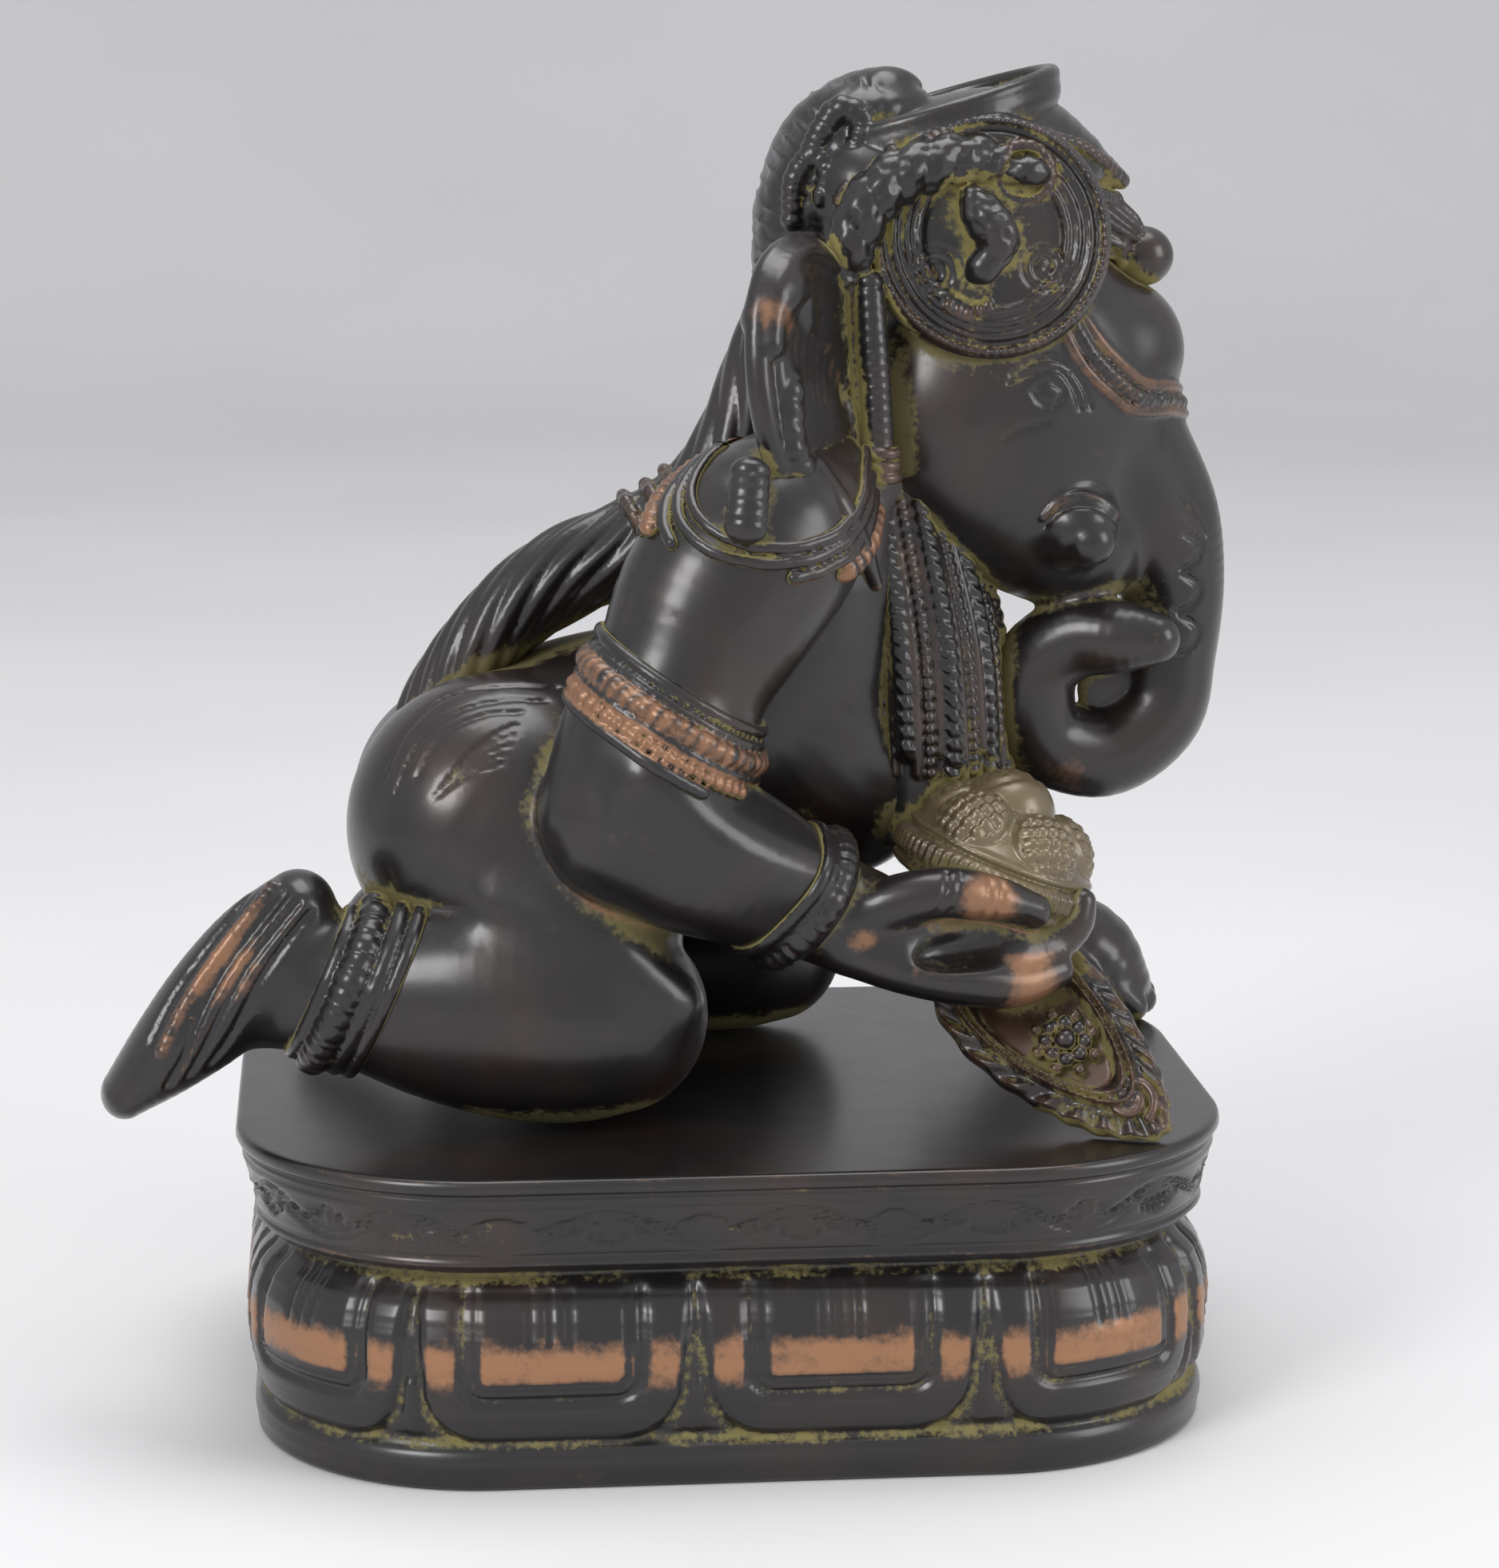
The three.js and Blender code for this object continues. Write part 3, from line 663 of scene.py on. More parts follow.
leg([[-42, -19, 104, 21, 22], [-28, -25, 94, 18, 20], [-22, -29, 84, 15, 13]],
    [[-77, -30, 80.6, 9, 12.4], [-68.5, -30, 79.3, 10, 12.4], [-60, -30, 77.2, 12, 14.0],
     [-50, -30, 76.3, 15, 17.4],
     [-37, -30, 75.6, 18, 20.4], [-26, -30.5, 74.0, 17.5, 19.4], [-20, -31, 72.4, 15.4, 16.4]],
    [[-73.5, -30, 92.4, 8, 6.4], [-79, -30, 86.4, 9.6, 8.4], [-86, -30, 77.6, 11, 9.4],
     [-94.4, -30, 69.2, 11.5, 7.4],
     [-103.0, -30, 61.2, 9.5, 4.2]])
leg([[-34, 22, 102, 19, 21], [-12, 29, 90, 17, 18], [8, 35, 74, 14, 15]],
    [[-52, 36, 78, 8.5, 10.5], [-43, 36, 76, 9, 12], [-34, 36, 75, 11.5, 13.5], [-24, 36, 74, 15, 17],
     [-10, 36, 73.5, 16, 19.5], [6, 36, 70.5, 15, 17], [14, 36, 69, 12, 14]],
    [[-45, 36, 84, 8, 7], [-55, 36, 77, 10, 8.4], [-65, 36, 68, 11, 6.4], [-72, 36, 63, 9, 3.8]])
body.trim(SEAT)

# The folds over the hip, the fan of short strokes below them and the crease of the thigh, on both sides alike
FOLD = 0.42
for flip in (-1, 1):
    hip = 0 if flip < 0 else 3
    chase(body, 60 * flip, [(-29 + hip, 127.6), (-38.6 + hip, 128.4), (-49.1 + hip, 126.2),
                            (-55 + hip, 121.4), (-59 + hip, 114)], 0.9, FOLD)
    chase(body, 60 * flip, [(-31 + hip, 126.2), (-39 + hip, 126.6), (-48 + hip, 124.2),
                            (-53.4 + hip, 119.6), (-57 + hip, 112)], 0.9, FOLD)
    chase(body, 60 * flip, [(-35.3 + hip, 125.0), (-42.2 + hip, 124.6), (-47.6 + hip, 122.4),
                            (-51.0 + hip, 119.2), (-53.4 + hip, 115)], 0.9, FOLD)
    for k in range(5):
        chase(body, 60 * flip, [(-50.5 + 1.3 * k + hip, 112.2 + 1.6 * k),
                                (-45.5 + 1.2 * k + hip, 115.6 + 1.5 * k),
               (-39.0 + 0.6 * k + hip, 117.6 + 1.4 * k)], 0.8, FOLD)
    chase(body, 60 * flip, [(-26.5, 119), (-28.6, 112), (-30.5, 104), (-30, 97)], 1.0, 0.5)
# The lines round the right ankle, and the ribbed one laid between them
for points in ([(-79.5, 97.5), (-85.2, 91.2), (-90.2, 85.0), (-95.2, 78.0), (-98.6, 71.5)],
               [(-75.6, 96.2), (-80.8, 90.2), (-85.0, 85.0), (-89.4, 77.6), (-93.0, 69.0), (-95.5, 64.5)],
               [(-73.4, 94.8), (-78.4, 89.0), (-82.2, 84.2), (-86.0, 77.4), (-89.4, 70.6), (-92.0, 66)],
               [(-71.4, 93.0), (-76.2, 87.4), (-79.6, 82.6), (-82.8, 76.6), (-85.6, 71.6), (-88.5, 67.6)]):
    chase(body, -60, points, 1.2, 0.8)
raise_line(body, [(px, -60, pz) for px, pz in [(-77.6, 96.6), (-83.0, 90.6), (-87.8, 84.6), (-92.6, 77.6),
                                               (-96.2, 70.6)]],
           (0, 1, 0), radius=1.15, sink=0.1, relief=ribbed(1.5, 0.22))


# The arms: the right one bent, with its palm up under the bowl; the left one straight down to the plinth.
SHOULDER_RIGHT = (5, -33, 154)
ELBOW_RIGHT = (-18, -43, 110)
WRIST_RIGHT = (12.8, -38, 93.5)
body.strand([[13, -24, 162, 12, 11], [*SHOULDER_RIGHT, 16.8, 16.6], [-2, -37, 146, 15.6, 17.2],
             [-10, -40, 131, 14.6, 15],
             [-14, -42, 121, 15.6, 16.4], [*ELBOW_RIGHT, 14.6, 15.2]], soft=2.5, step=3)
body.strand([[*ELBOW_RIGHT, 14.6, 15.2], [-9, -43, 104.6, 14.2, 14.6], [2, -41, 99.2, 12.2, 12.6],
             [*WRIST_RIGHT, 9.4, 9.8], [20, -36, 90.4, 8.2, 8.2]], soft=2.5, step=3)
body.strand([[14, 20, 158, 13, 13], [20, 30, 150, 16, 16], [33, 35, 129, 13.5, 14], [43, 39, 107, 11.5, 12],
             [53, 40, 83, 8.5, 8.5], [62.5, 40, 71.5, 10, 8.6], [74, 40, 65.4, 12, 8.6],
             [80, 40, 60.4, 10, 5]],
            soft=2.5, step=3)
for k, reach in enumerate((80.5, 83.2, 84, 82)):
    fan = 31.5 + 5.6 * k
    body.strand([[70, 36 + 2.6 * k, 66, 3.6], [reach - 5, fan, 61.6, 3.4], [reach, fan, 57.0, 2.8]],
                soft=1.0)
body.strand([[66, 31, 68, 3.6], [71, 26.5, 62.5, 3.3], [75, 25, 57.0, 2.8]], soft=1.2)

# The right hand: a cupped palm, the thumb laid along the bowl and the fingers curled up at its far side
body.strand([[17, -37, 90.4, 8.6, 8.4], [26, -35.6, 87.4, 10.4, 8.2], [36, -33, 85.2, 12.2, 7.2],
             [46, -31, 84.2, 12, 6.0],
             [54, -30, 84.6, 9, 4.4]], soft=3, step=2)
body.strand([[18, -41.6, 90.4, 4.6], [26, -43.6, 94.2, 4.6], [34, -44.2, 95.8, 4.3], [42, -43.0, 94.2, 4.2],
             [49.4, -40.8, 91.6, 3.3]], soft=2.2)
body.strand([[18, -42, 86.4, 4.8], [28, -43.8, 83.0, 4.6], [38, -43.6, 80.6, 4.4], [47, -41.8, 79.4, 4.0],
             [54, -39.2, 80.8, 3.0]], soft=2.2)
body.ball((41, -46.4, 87.2), (12, 5.0, 3.4), soft=2.2, turn=10, cut=True)
for k, across in enumerate((-36, -30, -24)):
    body.strand([[44, across, 83.6, 4.0], [52, across + 0.6, 84.4, 3.8],
                 [58.0, across + 1.2, 88.4 - k, 3.2],
                 [59.0, across + 1.4, 91.6 - k, 2.5]], soft=1.2)
for at in ((33.0, -45, 96.4), (35.4, -45, 96.2), (40.4, -44, 94.8), (42.6, -43, 94.2)):
    rim = [(at[0] - 0.6, at[1] - 3.6, at[2] - 3.2), (at[0] + 0.6, at[1] - 4.6, at[2]),
           (at[0] + 1.2, at[1] - 2.6, at[2] + 3.4)]
    engrave(body, rim, (0, 1, 0), 0.8, 0.45)
# Soft ridges over the right knee and along the right forearm, where the wax was pressed flat beside them
for ridge in ([(-40, -36, 94), (-30, -38.6, 91), (-20, -40, 85.4), (-10.6, -38.4, 77)],
              [(-16, -49, 118), (-6, -48.6, 108.6), (4, -45.6, 102.6), (10, -43, 100)]):
    body.strand(sized(body.touch(smooth_through(ridge, 3)[:, :3], (0, 1, 0)) + (0, 1.9, 0), 2.8), soft=7,
                step=3)
figure_body = cast(body, "kneeling_body", 136000)
figure_body.data.materials.append(patina("body_patina", residue=0.5, rub=0.75))


# The head is cast with the body: skull, cheeks and the swollen brow, the trunk that curls back to a coil,
# a ringed tusk on each side, the chased eyes and brows, and the three raised bands across the brow.
HEAD_MIDDLE = (48, 0, 176)
COIL_MIDDLE = (66, 0, 123.4)


def coil(degrees, radius, across, thickness):
    angle = math.radians(degrees)
    return [COIL_MIDDLE[0] + radius * math.cos(angle), across, COIL_MIDDLE[2] + radius * math.sin(angle),
            thickness]


head = Wax((8, -34, 103), (93, 34, 210), 0.5)
head.ball(HEAD_MIDDLE, (30.6, 23.6, 29.6))
head.strand([[40, 0, 170, 22, 20], [52, 0, 158, 20, 17], [62, 0, 150, 14.6, 13.4]], soft=6, step=3)
head.strand([[62, 1, 176, 16.6, 16.6], [69.5, 1, 164, 13.5, 14], [77, 2, 152, 10.5, 11.9],
             [80.6, 3, 141, 8.8, 9.5],
             coil(18, 15, 3, 8.5), coil(-22, 13.4, 2, 8.3), coil(-80, 12.4, 0, 8),
             coil(-140, 12.2, -2.5, 7.8),
             coil(-205, 11.2, -5, 7.6), coil(-250, 10.4, -8, 7.2), coil(-282, 10.4, -11, 6.6),
             [74.8, -13.5, 133.4, 4.4]],
            soft=2.5, step=2)
head.ball((68.5, 0, 182.3), (12.9, 14, 13), soft=2)
head.ball((70, 0, 122.6), (6.4, 2.0, 6), soft=1.5)
for flip in (-1, 1):
    head.ball((60.4, 17.0 * flip, 153.6), (7.0, 6.2, 6.6), soft=3)
    head.ball((62.0, 20.4 * flip, 151.4), (4.4, 4.0, 4.2), soft=0.6)
    hood = [(53.8, 155.6), (56.6, 158.4), (60.4, 159.4), (64.4, 158.0), (67.6, 155.2)]
    raise_line(head, [(px, 33 * flip, pz) for px, pz in hood], (0, -flip, 0))
    chase(head, 33 * flip, [(px, pz - 1.4) for px, pz in hood], 0.9, 0.5)
    chase(head, 33 * flip, [(51.2, 177.4), (53.8, 178.9), (56.8, 177.2), (55.2, 175.2), (52.6, 175.6),
                            (51.2, 177.4)], 0.7, 0.5)
    chase(head, 33 * flip, [(47.6, 180.2), (51.1, 182.5), (55.3, 182.6), (59.5, 179.2), (61.7, 174.4)], 0.7,
          0.5)
    chase(head, 33 * flip, [(47.2, 178.8), (52.0, 180.6), (56.0, 180.8), (58.4, 178.0), (59.8, 174.4)], 0.8,
          0.5)
    chase(head, 33 * flip, [(46.4, 169.6), (49.8, 171.3), (54.0, 172.3)], 0.8, 0.4)
    for k in range(3):
        chase(head, 33 * flip, [(79.4 + k, 157 - 0.6 * k), (83.2 + k, 151.5 - 0.6 * k)], 0.8, 0.45)
    for start in (151, 143.5, 136):
        for k in range(2):
            chase(head, 33 * flip, [(80.5 + k, start), (84 + 0.6 * k, start - 2.6), (82.4 + k, start - 5.4),
                                    (79.6 + k, start - 6.6)], 0.8, 0.45)
BROW_BANDS = (((55.6, 190), (60.2, 181.5), (66.6, 175.2), 171.2, 1.0, None),
              ((57.4, 190.6), (62.0, 183.2), (68.4, 177.0), 173.2, 1.25, ribbed(1.5, 0.25)),
              ((59.4, 191.2), (63.8, 185.0), (70.2, 179.0), 175.6, 1.0, None))
for (ax, az), (bx, bz), (cx, cz), front_height, radius, relief in BROW_BANDS:
    half = [(ax, -33, az), (bx, -33, bz), (cx, -30, cz)]
    right = head.touch(smooth_through(half, 1.5), (0, 1, 0))
    front = head.touch([[92, 0, front_height]], (-1, 0, 0))[0]
    quarter = head.touch([[92, -8, (cz + 2 * front_height) / 3]], (-1, 0, 0))[0]
    course = np.vstack([right, [quarter, front], [quarter * (1, -1, 1)], (right * (1, -1, 1))[::-1]])
    head.strand(sized(smooth_through(course, 1)[:, :3], radius), soft=0.3, relief=relief, step=2)
trunk_head = cast(head, "head_and_trunk", 100000)
trunk_head.data.materials.append(patina("head_patina", residue=0.5, rub=0.45))


# Each ear is a thick leaf that stands out from the head, its upper edge folded over in a hem
# and its front edge rolled into a carved strip. The left ear turns further out than the right one.
EAR_OUTLINE = [(-2, 12), (4, 21), (13, 23.5), (23.5, 20), (29.5, 8), (28.5, -8), (18, -21), (4, -29),
               (-2, -12)]
ears = Wax((-6, -54, 144), (34, 54, 206), 0.5)
for flip, back in ((-1, 0.67), (1, 0.2)):
    root = np.array([20, 20 * flip, 179.0])
    out = np.array([-back, flip, 0.0])
    out /= np.linalg.norm(out)
    tall = np.array([0, -0.22 * flip, 1.0])
    tall -= tall.dot(out) * out
    tall /= np.linalg.norm(tall)
    edge = [root + out * u + tall * v for u, v in EAR_OUTLINE]
    for inner in np.linspace(0.12, 0.86, 9):
        loop = [root + out * (6 + (u - 6) * inner) + tall * (-2 + (v + 2) * inner) for u, v in EAR_OUTLINE]
        ears.strand(sized(loop, 2.9, 1.9), soft=2.4, side=np.cross(out, tall), step=3)
    ears.strand(sized(edge, 2.2), soft=1.0, step=2)
    fold = [root + out * u + tall * v for u, v in ((4, 20), (13, 22), (23, 18.6), (28, 8))]
    front = np.cross(out, tall) * (1 if flip < 0 else -1)
    front = front * np.sign(front[0])
    ears.strand(sized(np.array(fold) + front * 1.5, 3.0, 2.4), soft=0.8, step=2)
    strip = [root + out * u + tall * v + front * 2.0 for u,
             v in ((24, 2), (25.5, -8), (18, -18), (6, -26.5))]
    ears.strand(sized(strip, 2.4), soft=0.5, relief=twisted(3.2, 1, 0.4), step=1)
    if flip < 0:
        ears.strand([(12.5, -38.6, 166.4, 2.6), (16.5, -41.0, 159.6, 2.9), (20.4, -39.0, 153, 2.2),
                     (23.4, -34.6, 146.6, 1.3)],
                    soft=1.0, step=1.5)
        ears.strand([(3.4, -40.4, 191, 3.2), (6.2, -39.8, 194.4, 3.8), (9.4, -35.4, 196.4, 3.6),
                     (10.4, -33.4, 191, 2.8)],
                    soft=1.5, step=1.5)
ear_pair = cast(ears, "ears", 36000)
ear_pair.data.materials.append(patina("ear_patina", residue=0.7, rub=0.6))


# The hair and headdress stand on the skull: a tall crest of combed hair, a cap under a curled brim, rope and
# ridges round it, a disc over each temple with a shell hung on it, and a fluted cone with a knob in front.
TEMPLE = (44.3, 20.4, 203.2)
TEMPLE_RADIUS = 20.6
DISC_RINGS = ((19.4, 1.5), (16.9, 1.3), (14.7, 1.3), (12.6, 1.2))
dress = Wax((3, -37, 158), (82, 37, 232.8), 0.45)
dress.ball((39, 0, 203), (28, 20.6, 18))
dress.strand([[15.5, 0, 190, 10, 9], [15.0, 0, 199, 12.4, 8.8], [15.6, 0, 209, 13.6, 8.6],
              [21.0, 0, 219.6, 13.6, 8.4],
              [28.6, 0, 223.8, 10.6, 7.6]], soft=1.0, step=2, relief=twisted(2.3, 5, 0.36))
dress.strand([[24, 0, 211, 20, 12], [38, 0, 214.6, 19.4, 11.4], [52, 0, 217, 15.6, 10],
              [61, 0, 214.6, 9.6, 6.2]],
             soft=1.5, step=2.5)


def coiled_line(centre, across, first, last, turns, count=40):
    """A flat spiral on the side of the figure, its radius going from first to last."""
    t = np.linspace(0, 1, count)
    angle = 2 * np.pi * turns * t
    radius = first + (last - first) * t
    x, z = centre[0] + radius * np.cos(angle), centre[1] + radius * np.sin(angle)
    return np.stack([x, np.full(count, across), z], -1)


def laid_rope(run, angle):
    """Two thick twisted hanks with the fine twist of the cord in them."""
    return 0.6 * np.cos(2 * np.pi * run / 5.2 + 2 * angle) + 0.25 * np.cos(2 * np.pi * run / 1.7 + 4 * angle)


rng = np.random.default_rng(11)
for flip in (-1, 1):
    dress.strand([(13.6, 11.6 * flip, 211, 2.0), (16.2, 12.2 * flip, 219.6, 2.2),
                  (20, 12.4 * flip, 224.2, 2.3),
                  (23.4, 13 * flip, 222.6, 2.2), (21.8, 14 * flip, 217, 1.9)], relief=ribbed(1.7, 0.32),
                  step=1)
    dress.strand([(11.6, 12.2 * flip, 206, 1.8), (12.4, 12.6 * flip, 213.4, 1.9),
                  (15.4, 12.8 * flip, 216.8, 2.0),
                  (17.6, 13.6 * flip, 214.2, 1.9), (16.2, 14.4 * flip, 209.4, 1.6)],
                  relief=ribbed(1.7, 0.3), step=1)
    for points, radius in (([(30, 218.6), (38, 220.6), (46, 221.2), (53, 220.6), (58.5, 218.4)], 1.15),
                           ([(29, 216.0), (37, 218.2), (46, 218.9), (54, 218.0), (59.5, 215.8)], 1.05),
                           ([(24, 212.6), (30, 216.2), (38, 218.2)], 0.8)):
        raise_line(dress, [(px, 34 * flip, pz) for px, pz in points], (0, -flip, 0), radius)
    band = smooth_through([(20, 33 * flip, 209), (25.7, 33 * flip, 214.6), (32.6, 33 * flip, 218),
                           (42, 33 * flip, 217.6)], 0.8)
    crumbs = dress.touch(band[:, :3] + rng.uniform(-1.3, 1.3, (len(band), 3)) * (1, 0, 1), (0, -flip, 0))
    for crumb in crumbs:
        dress.ball(crumb, rng.uniform(0.7, 1.3), 0.5)
    dress.strand([(19.6, 21.6 * flip, 197.6, 3.2), (20.8, 23.4 * flip, 203, 3.9),
                  (23, 23.6 * flip, 208.6, 4.1),
                  (27.2, 22.8 * flip, 212.6, 4.1), (33.8, 21.6 * flip, 215.2, 4.0),
                  (40.1, 20.4 * flip, 216.2, 3.8),
                  (45.8, 19.6 * flip, 215.6, 3.0)], step=1,
                 relief=laid_rope)
    ring = coiled_line((49.6, 213.8), 21 * flip, 4.6, 4.6, 1)
    dress.strand(sized(ring, 1.1), soft=0.3, relief=ribbed(1.5, 0.2), step=1)
    dress.ball((49.6, 21 * flip, 213.8), (3.8, 4.4, 3.8), cut=True)
    dress.strand([(46.4, 21.6 * flip, 213.2, 0.8), (48.6, 22.2 * flip, 214.2, 2.1),
                  (51.0, 22.2 * flip, 214.2, 2.4),
                  (53.2, 21.6 * flip, 213.4, 1.2)], relief=twisted(1.4, 4, 0.18), step=1)
    beak = smooth_through([(54, 16 * flip, 219.8), (60, 12 * flip, 218.4), (65, 7.4 * flip, 215.6),
                           (69.6, 1.4 * flip, 212.2)], 0.7)
    dress.beads(beak[:, :3], 1.2, 1.9, 0.3)
    dress.strand([(50, 17.4 * flip, 210.6, 1.8), (57, 16.6 * flip, 210.4, 1.7),
                  (63.4, 10.4 * flip, 209.4, 1.5),
                  (68.4, 3 * flip, 208.6, 1.2)], relief=ribbed(1.8, 0.25), soft=0.5, step=1)

    def disc(u, v, w):
        """The disc over a temple: u goes out from the head, r is the radius, with rings and a roped edge."""
        r = np.hypot(v, w)
        rope = 0.22 * np.cos(84 * np.arctan2(w, v)) * within(r, 18.6, 20.4, 0.4)
        rings = sum(high * np.exp(-((r - place) / 0.85) ** 2) for place, high in DISC_RINGS)
        top = 0.6 + 2.6 * np.clip(1 - r / 22, 0, 1) + rings + rope
        return np.maximum(np.maximum((u - top) * 0.8, -u - 5), r - TEMPLE_RADIUS)

    at = np.array(TEMPLE) * (1, flip, 1)
    dress.form(at, (0.05, flip, 0.14), (1, 0, 0), 23, disc, soft=0.3)
    for centre, turn in (((34.4, 197.6), 1), ((53.2, 198.6), -1)):
        spiral = coiled_line(centre, 36 * flip, 4.6, 0.6, 2.2 * turn)
        engrave(dress, spiral, (0, -flip, 0), 0.8, 0.45)
    for k in range(5):
        base = dress.touch([(36.6 + 1.7 * k, 36 * flip, 190.6 + 0.7 * abs(k - 2))], (0, -flip, 0))[0]
        dress.ball(base, (0.9, 1.0, 1.3), 0.2)
    dress.strand([(40.2, 24.6 * flip, 210.6, 1.6), (42.0, 27.0 * flip, 207.2, 3.4),
                  (44.4, 28.0 * flip, 203.2, 3.4),
                  (43.6, 28.4 * flip, 200.4, 2.4)], relief=twisted(2.2, 3, 0.42), step=1)
    dress.strand([(43.4, 28.0 * flip, 200.6, 2.6), (41.8, 28.4 * flip, 198.6, 2.9),
                  (40.6, 28.2 * flip, 197.6, 1.8)], soft=0.3)
    dress.strand([(23.4, 23.6 * flip, 195.6, 2.3), (23.8, 25.0 * flip, 186, 2.6),
                  (24.4, 25.4 * flip, 176.4, 2.6),
                  (24.9, 25.4 * flip, 166.4, 2.5)], relief=ribbed(1.9, 0.32), step=1)
    dress.strand([(20.6, 22.6 * flip, 196, 1.3), (20.8, 24 * flip, 186, 1.3), (21.2, 24.6 * flip, 176, 1.2),
                  (22, 24.6 * flip, 167, 1.1)])
    for k in range(3):
        loop = [(24.9 + 3.3 * math.cos(a), 25.0 * flip + 3.3 * math.sin(a), 167.6 - 2.1 * k)
                for a in np.linspace(0, 2 * np.pi, 14)]
        dress.strand(sized(loop, 1.0), soft=0.2)

dress.strand([[54, 0, 207.6, 12, 9], [61, 0, 206, 9.6, 7.6], [68.4, 0, 202.4, 6.6, 5.4]], soft=0.8, step=1,
             relief=lambda run, angle: 0.45 * np.cos(13 * angle))
collar = [(69.4 - 0.3 * math.cos(a), 5.2 * math.sin(a), 201.4 + 4.6 * math.cos(a)) for a in np.linspace(0,
                                                                                                        2 * np.pi, 20)]
dress.strand(sized(collar, 1.2), soft=0.2)
dress.ball((74, 0, 198.6), (5.4, 5.4, 5.2), 0.5)
dress.strand([[50, 0, 217, 13, 5], [58, 0, 216.6, 11, 4.6], [65, 0, 214, 6, 3.4], [70, 0, 211.6, 1.8, 1.6]],
             soft=0.6, step=1.5)
brim = [(37 + 20.4 * math.cos(a), 18.3 * math.sin(a), 221.4 + 6 * math.cos(a)) for a in np.radians(np.linspace(-135, 135, 27))]
dress.strand(sized(brim, 3.0, 1.7), side=(0, 0, 1), step=2, soft=0.4)
roll = [(x, y, z + 2.7) for x, y, z in brim]
dress.strand(sized(roll, 1.5), step=2, soft=0.5)
lower_edge = [(x, y * 1.05, z - 2.6) for x, y, z in brim]
dress.strand(sized(lower_edge, 0.9), step=2, soft=0.3)
headdress = cast(dress, "headdress", 150000)
headdress.data.materials.append(patina("headdress_patina", residue=0.95, rub=0.16))


# The plait is one thick rope of hair, arched clear of the back and tied near its middle, down to the hip.
plait_wax = Wax((-64, -14, 106), (26, 14, 206), 0.45)
PLAIT = [[17, 0, 196, 10, 8.4], [11.6, 0, 182, 9.5, 9], [5.4, 0, 169, 9, 8], [-5.2, 0, 156, 8.5, 7.4],
         [-16, 0, 149, 8, 7.4],
         [-26.4, 0, 144.4, 8, 7.5], [-36.6, 0, 137.2, 8.5, 7.4], [-43.8, 0, 129.4, 8.6, 7.0],
         [-49.5, 1, 119.5, 8.4, 6.4],
         [-53, 2, 112, 7, 5.2]]


def strands_of_hair(run, angle):
    """Two thick twisted hanks, each combed into fine strands."""
    return 0.5 * np.cos(2 * np.pi * run / 46 + 2 * angle) + 0.34 * np.cos(2 * np.pi * run / 9 + 11 * angle)


plait_wax.strand(PLAIT, step=1.5, relief=strands_of_hair)
line = smooth_through([row[:3] for row in PLAIT], 1)
for along in (0.40, 0.44, 0.48):
    spot = int(along * len(line))
    tie = plait_wax.rim(line[spot], line[spot + 2] - line[spot - 2], 12)
    plait_wax.strand(sized(tie, 1.1), soft=0.2, relief=ribbed(1.6, 0.2), step=1)
plait = cast(plait_wax, "hair_plait", 64000)
plait.data.materials.append(patina("plait_patina", residue=0.45, rub=0.25))


# The jewellery is raised on the body in the wax: a curtain of necklaces over the chest, armlets and
# bracelets on both arms, anklets, and a small ribbed peg on the right shoulder.
chest = Wax((8, -30, 98), (54, 30, 172), 0.42)
CURTAIN = [[29, 0, 160, 16.4, 12.2], [33, 0, 134, 20.2, 15.6], [35, 0, 104, 19.2, 16]]
chest.strand(CURTAIN, step=3)
STRANDS = 33
for k, angle in enumerate(np.linspace(-118, 118, STRANDS)):
    cos_a, sin_a = math.cos(math.radians(angle)), math.sin(math.radians(angle))
    rows = smooth_through(CURTAIN, 4)
    rows = rows[rows[:, 2] > 104 + 9 * abs(math.sin(0.9 * k))]
    course = np.stack([rows[:, 0] + rows[:, 4] * cos_a, rows[:, 3] * sin_a, rows[:, 2]], -1)
    kind = k % 4
    if kind == 0:
        chest.beads(smooth_through(course, 1)[:, :3], 1.2, 2.0, 0.2)
    elif kind == 2:
        chest.strand(sized(course, 1.7), relief=twisted(2.6, 2, 0.4), step=1.5)
    else:
        chest.strand(sized(course, 1.0), step=3)
necklaces = cast(chest, "necklaces", 84000)
necklaces.data.materials.append(patina("necklace_patina", residue=0.8, rub=0.12))

bands_wax = Wax((-36, -62, 68), (82, 56, 170), 0.5)
near_rings = Wax((-80, -50, 54), (-48, -8, 98), 0.45)
far_rings = Wax((-62, 20, 54), (-30, 54, 98), 0.45)
rubbed_rings = []


def ring_round(wax, centre, axis, most, places):
    """Rings round a limb. Each place is how far along the axis, its radius, how far proud, and its relief."""
    axis = np.array(axis, float) / np.linalg.norm(axis)
    for along, radius, proud, relief in places:
        middle = np.array(centre) + axis * along
        loop = body.rim(middle, axis, most)
        out = loop - middle
        length = np.linalg.norm(out, axis=1)[:, None]
        kept = loop + out / length * proud
        if relief:
            rubbed_rings.append(kept)
        held = length[:, 0] < most - 0.3
        starts = np.flatnonzero(held[1:] != held[:-1]) + 1
        for part in np.split(np.arange(len(kept)), starts):
            if held[part[0]] and len(part) > 2:
                wax.strand(sized(kept[part], radius), relief=relief, step=1.5)


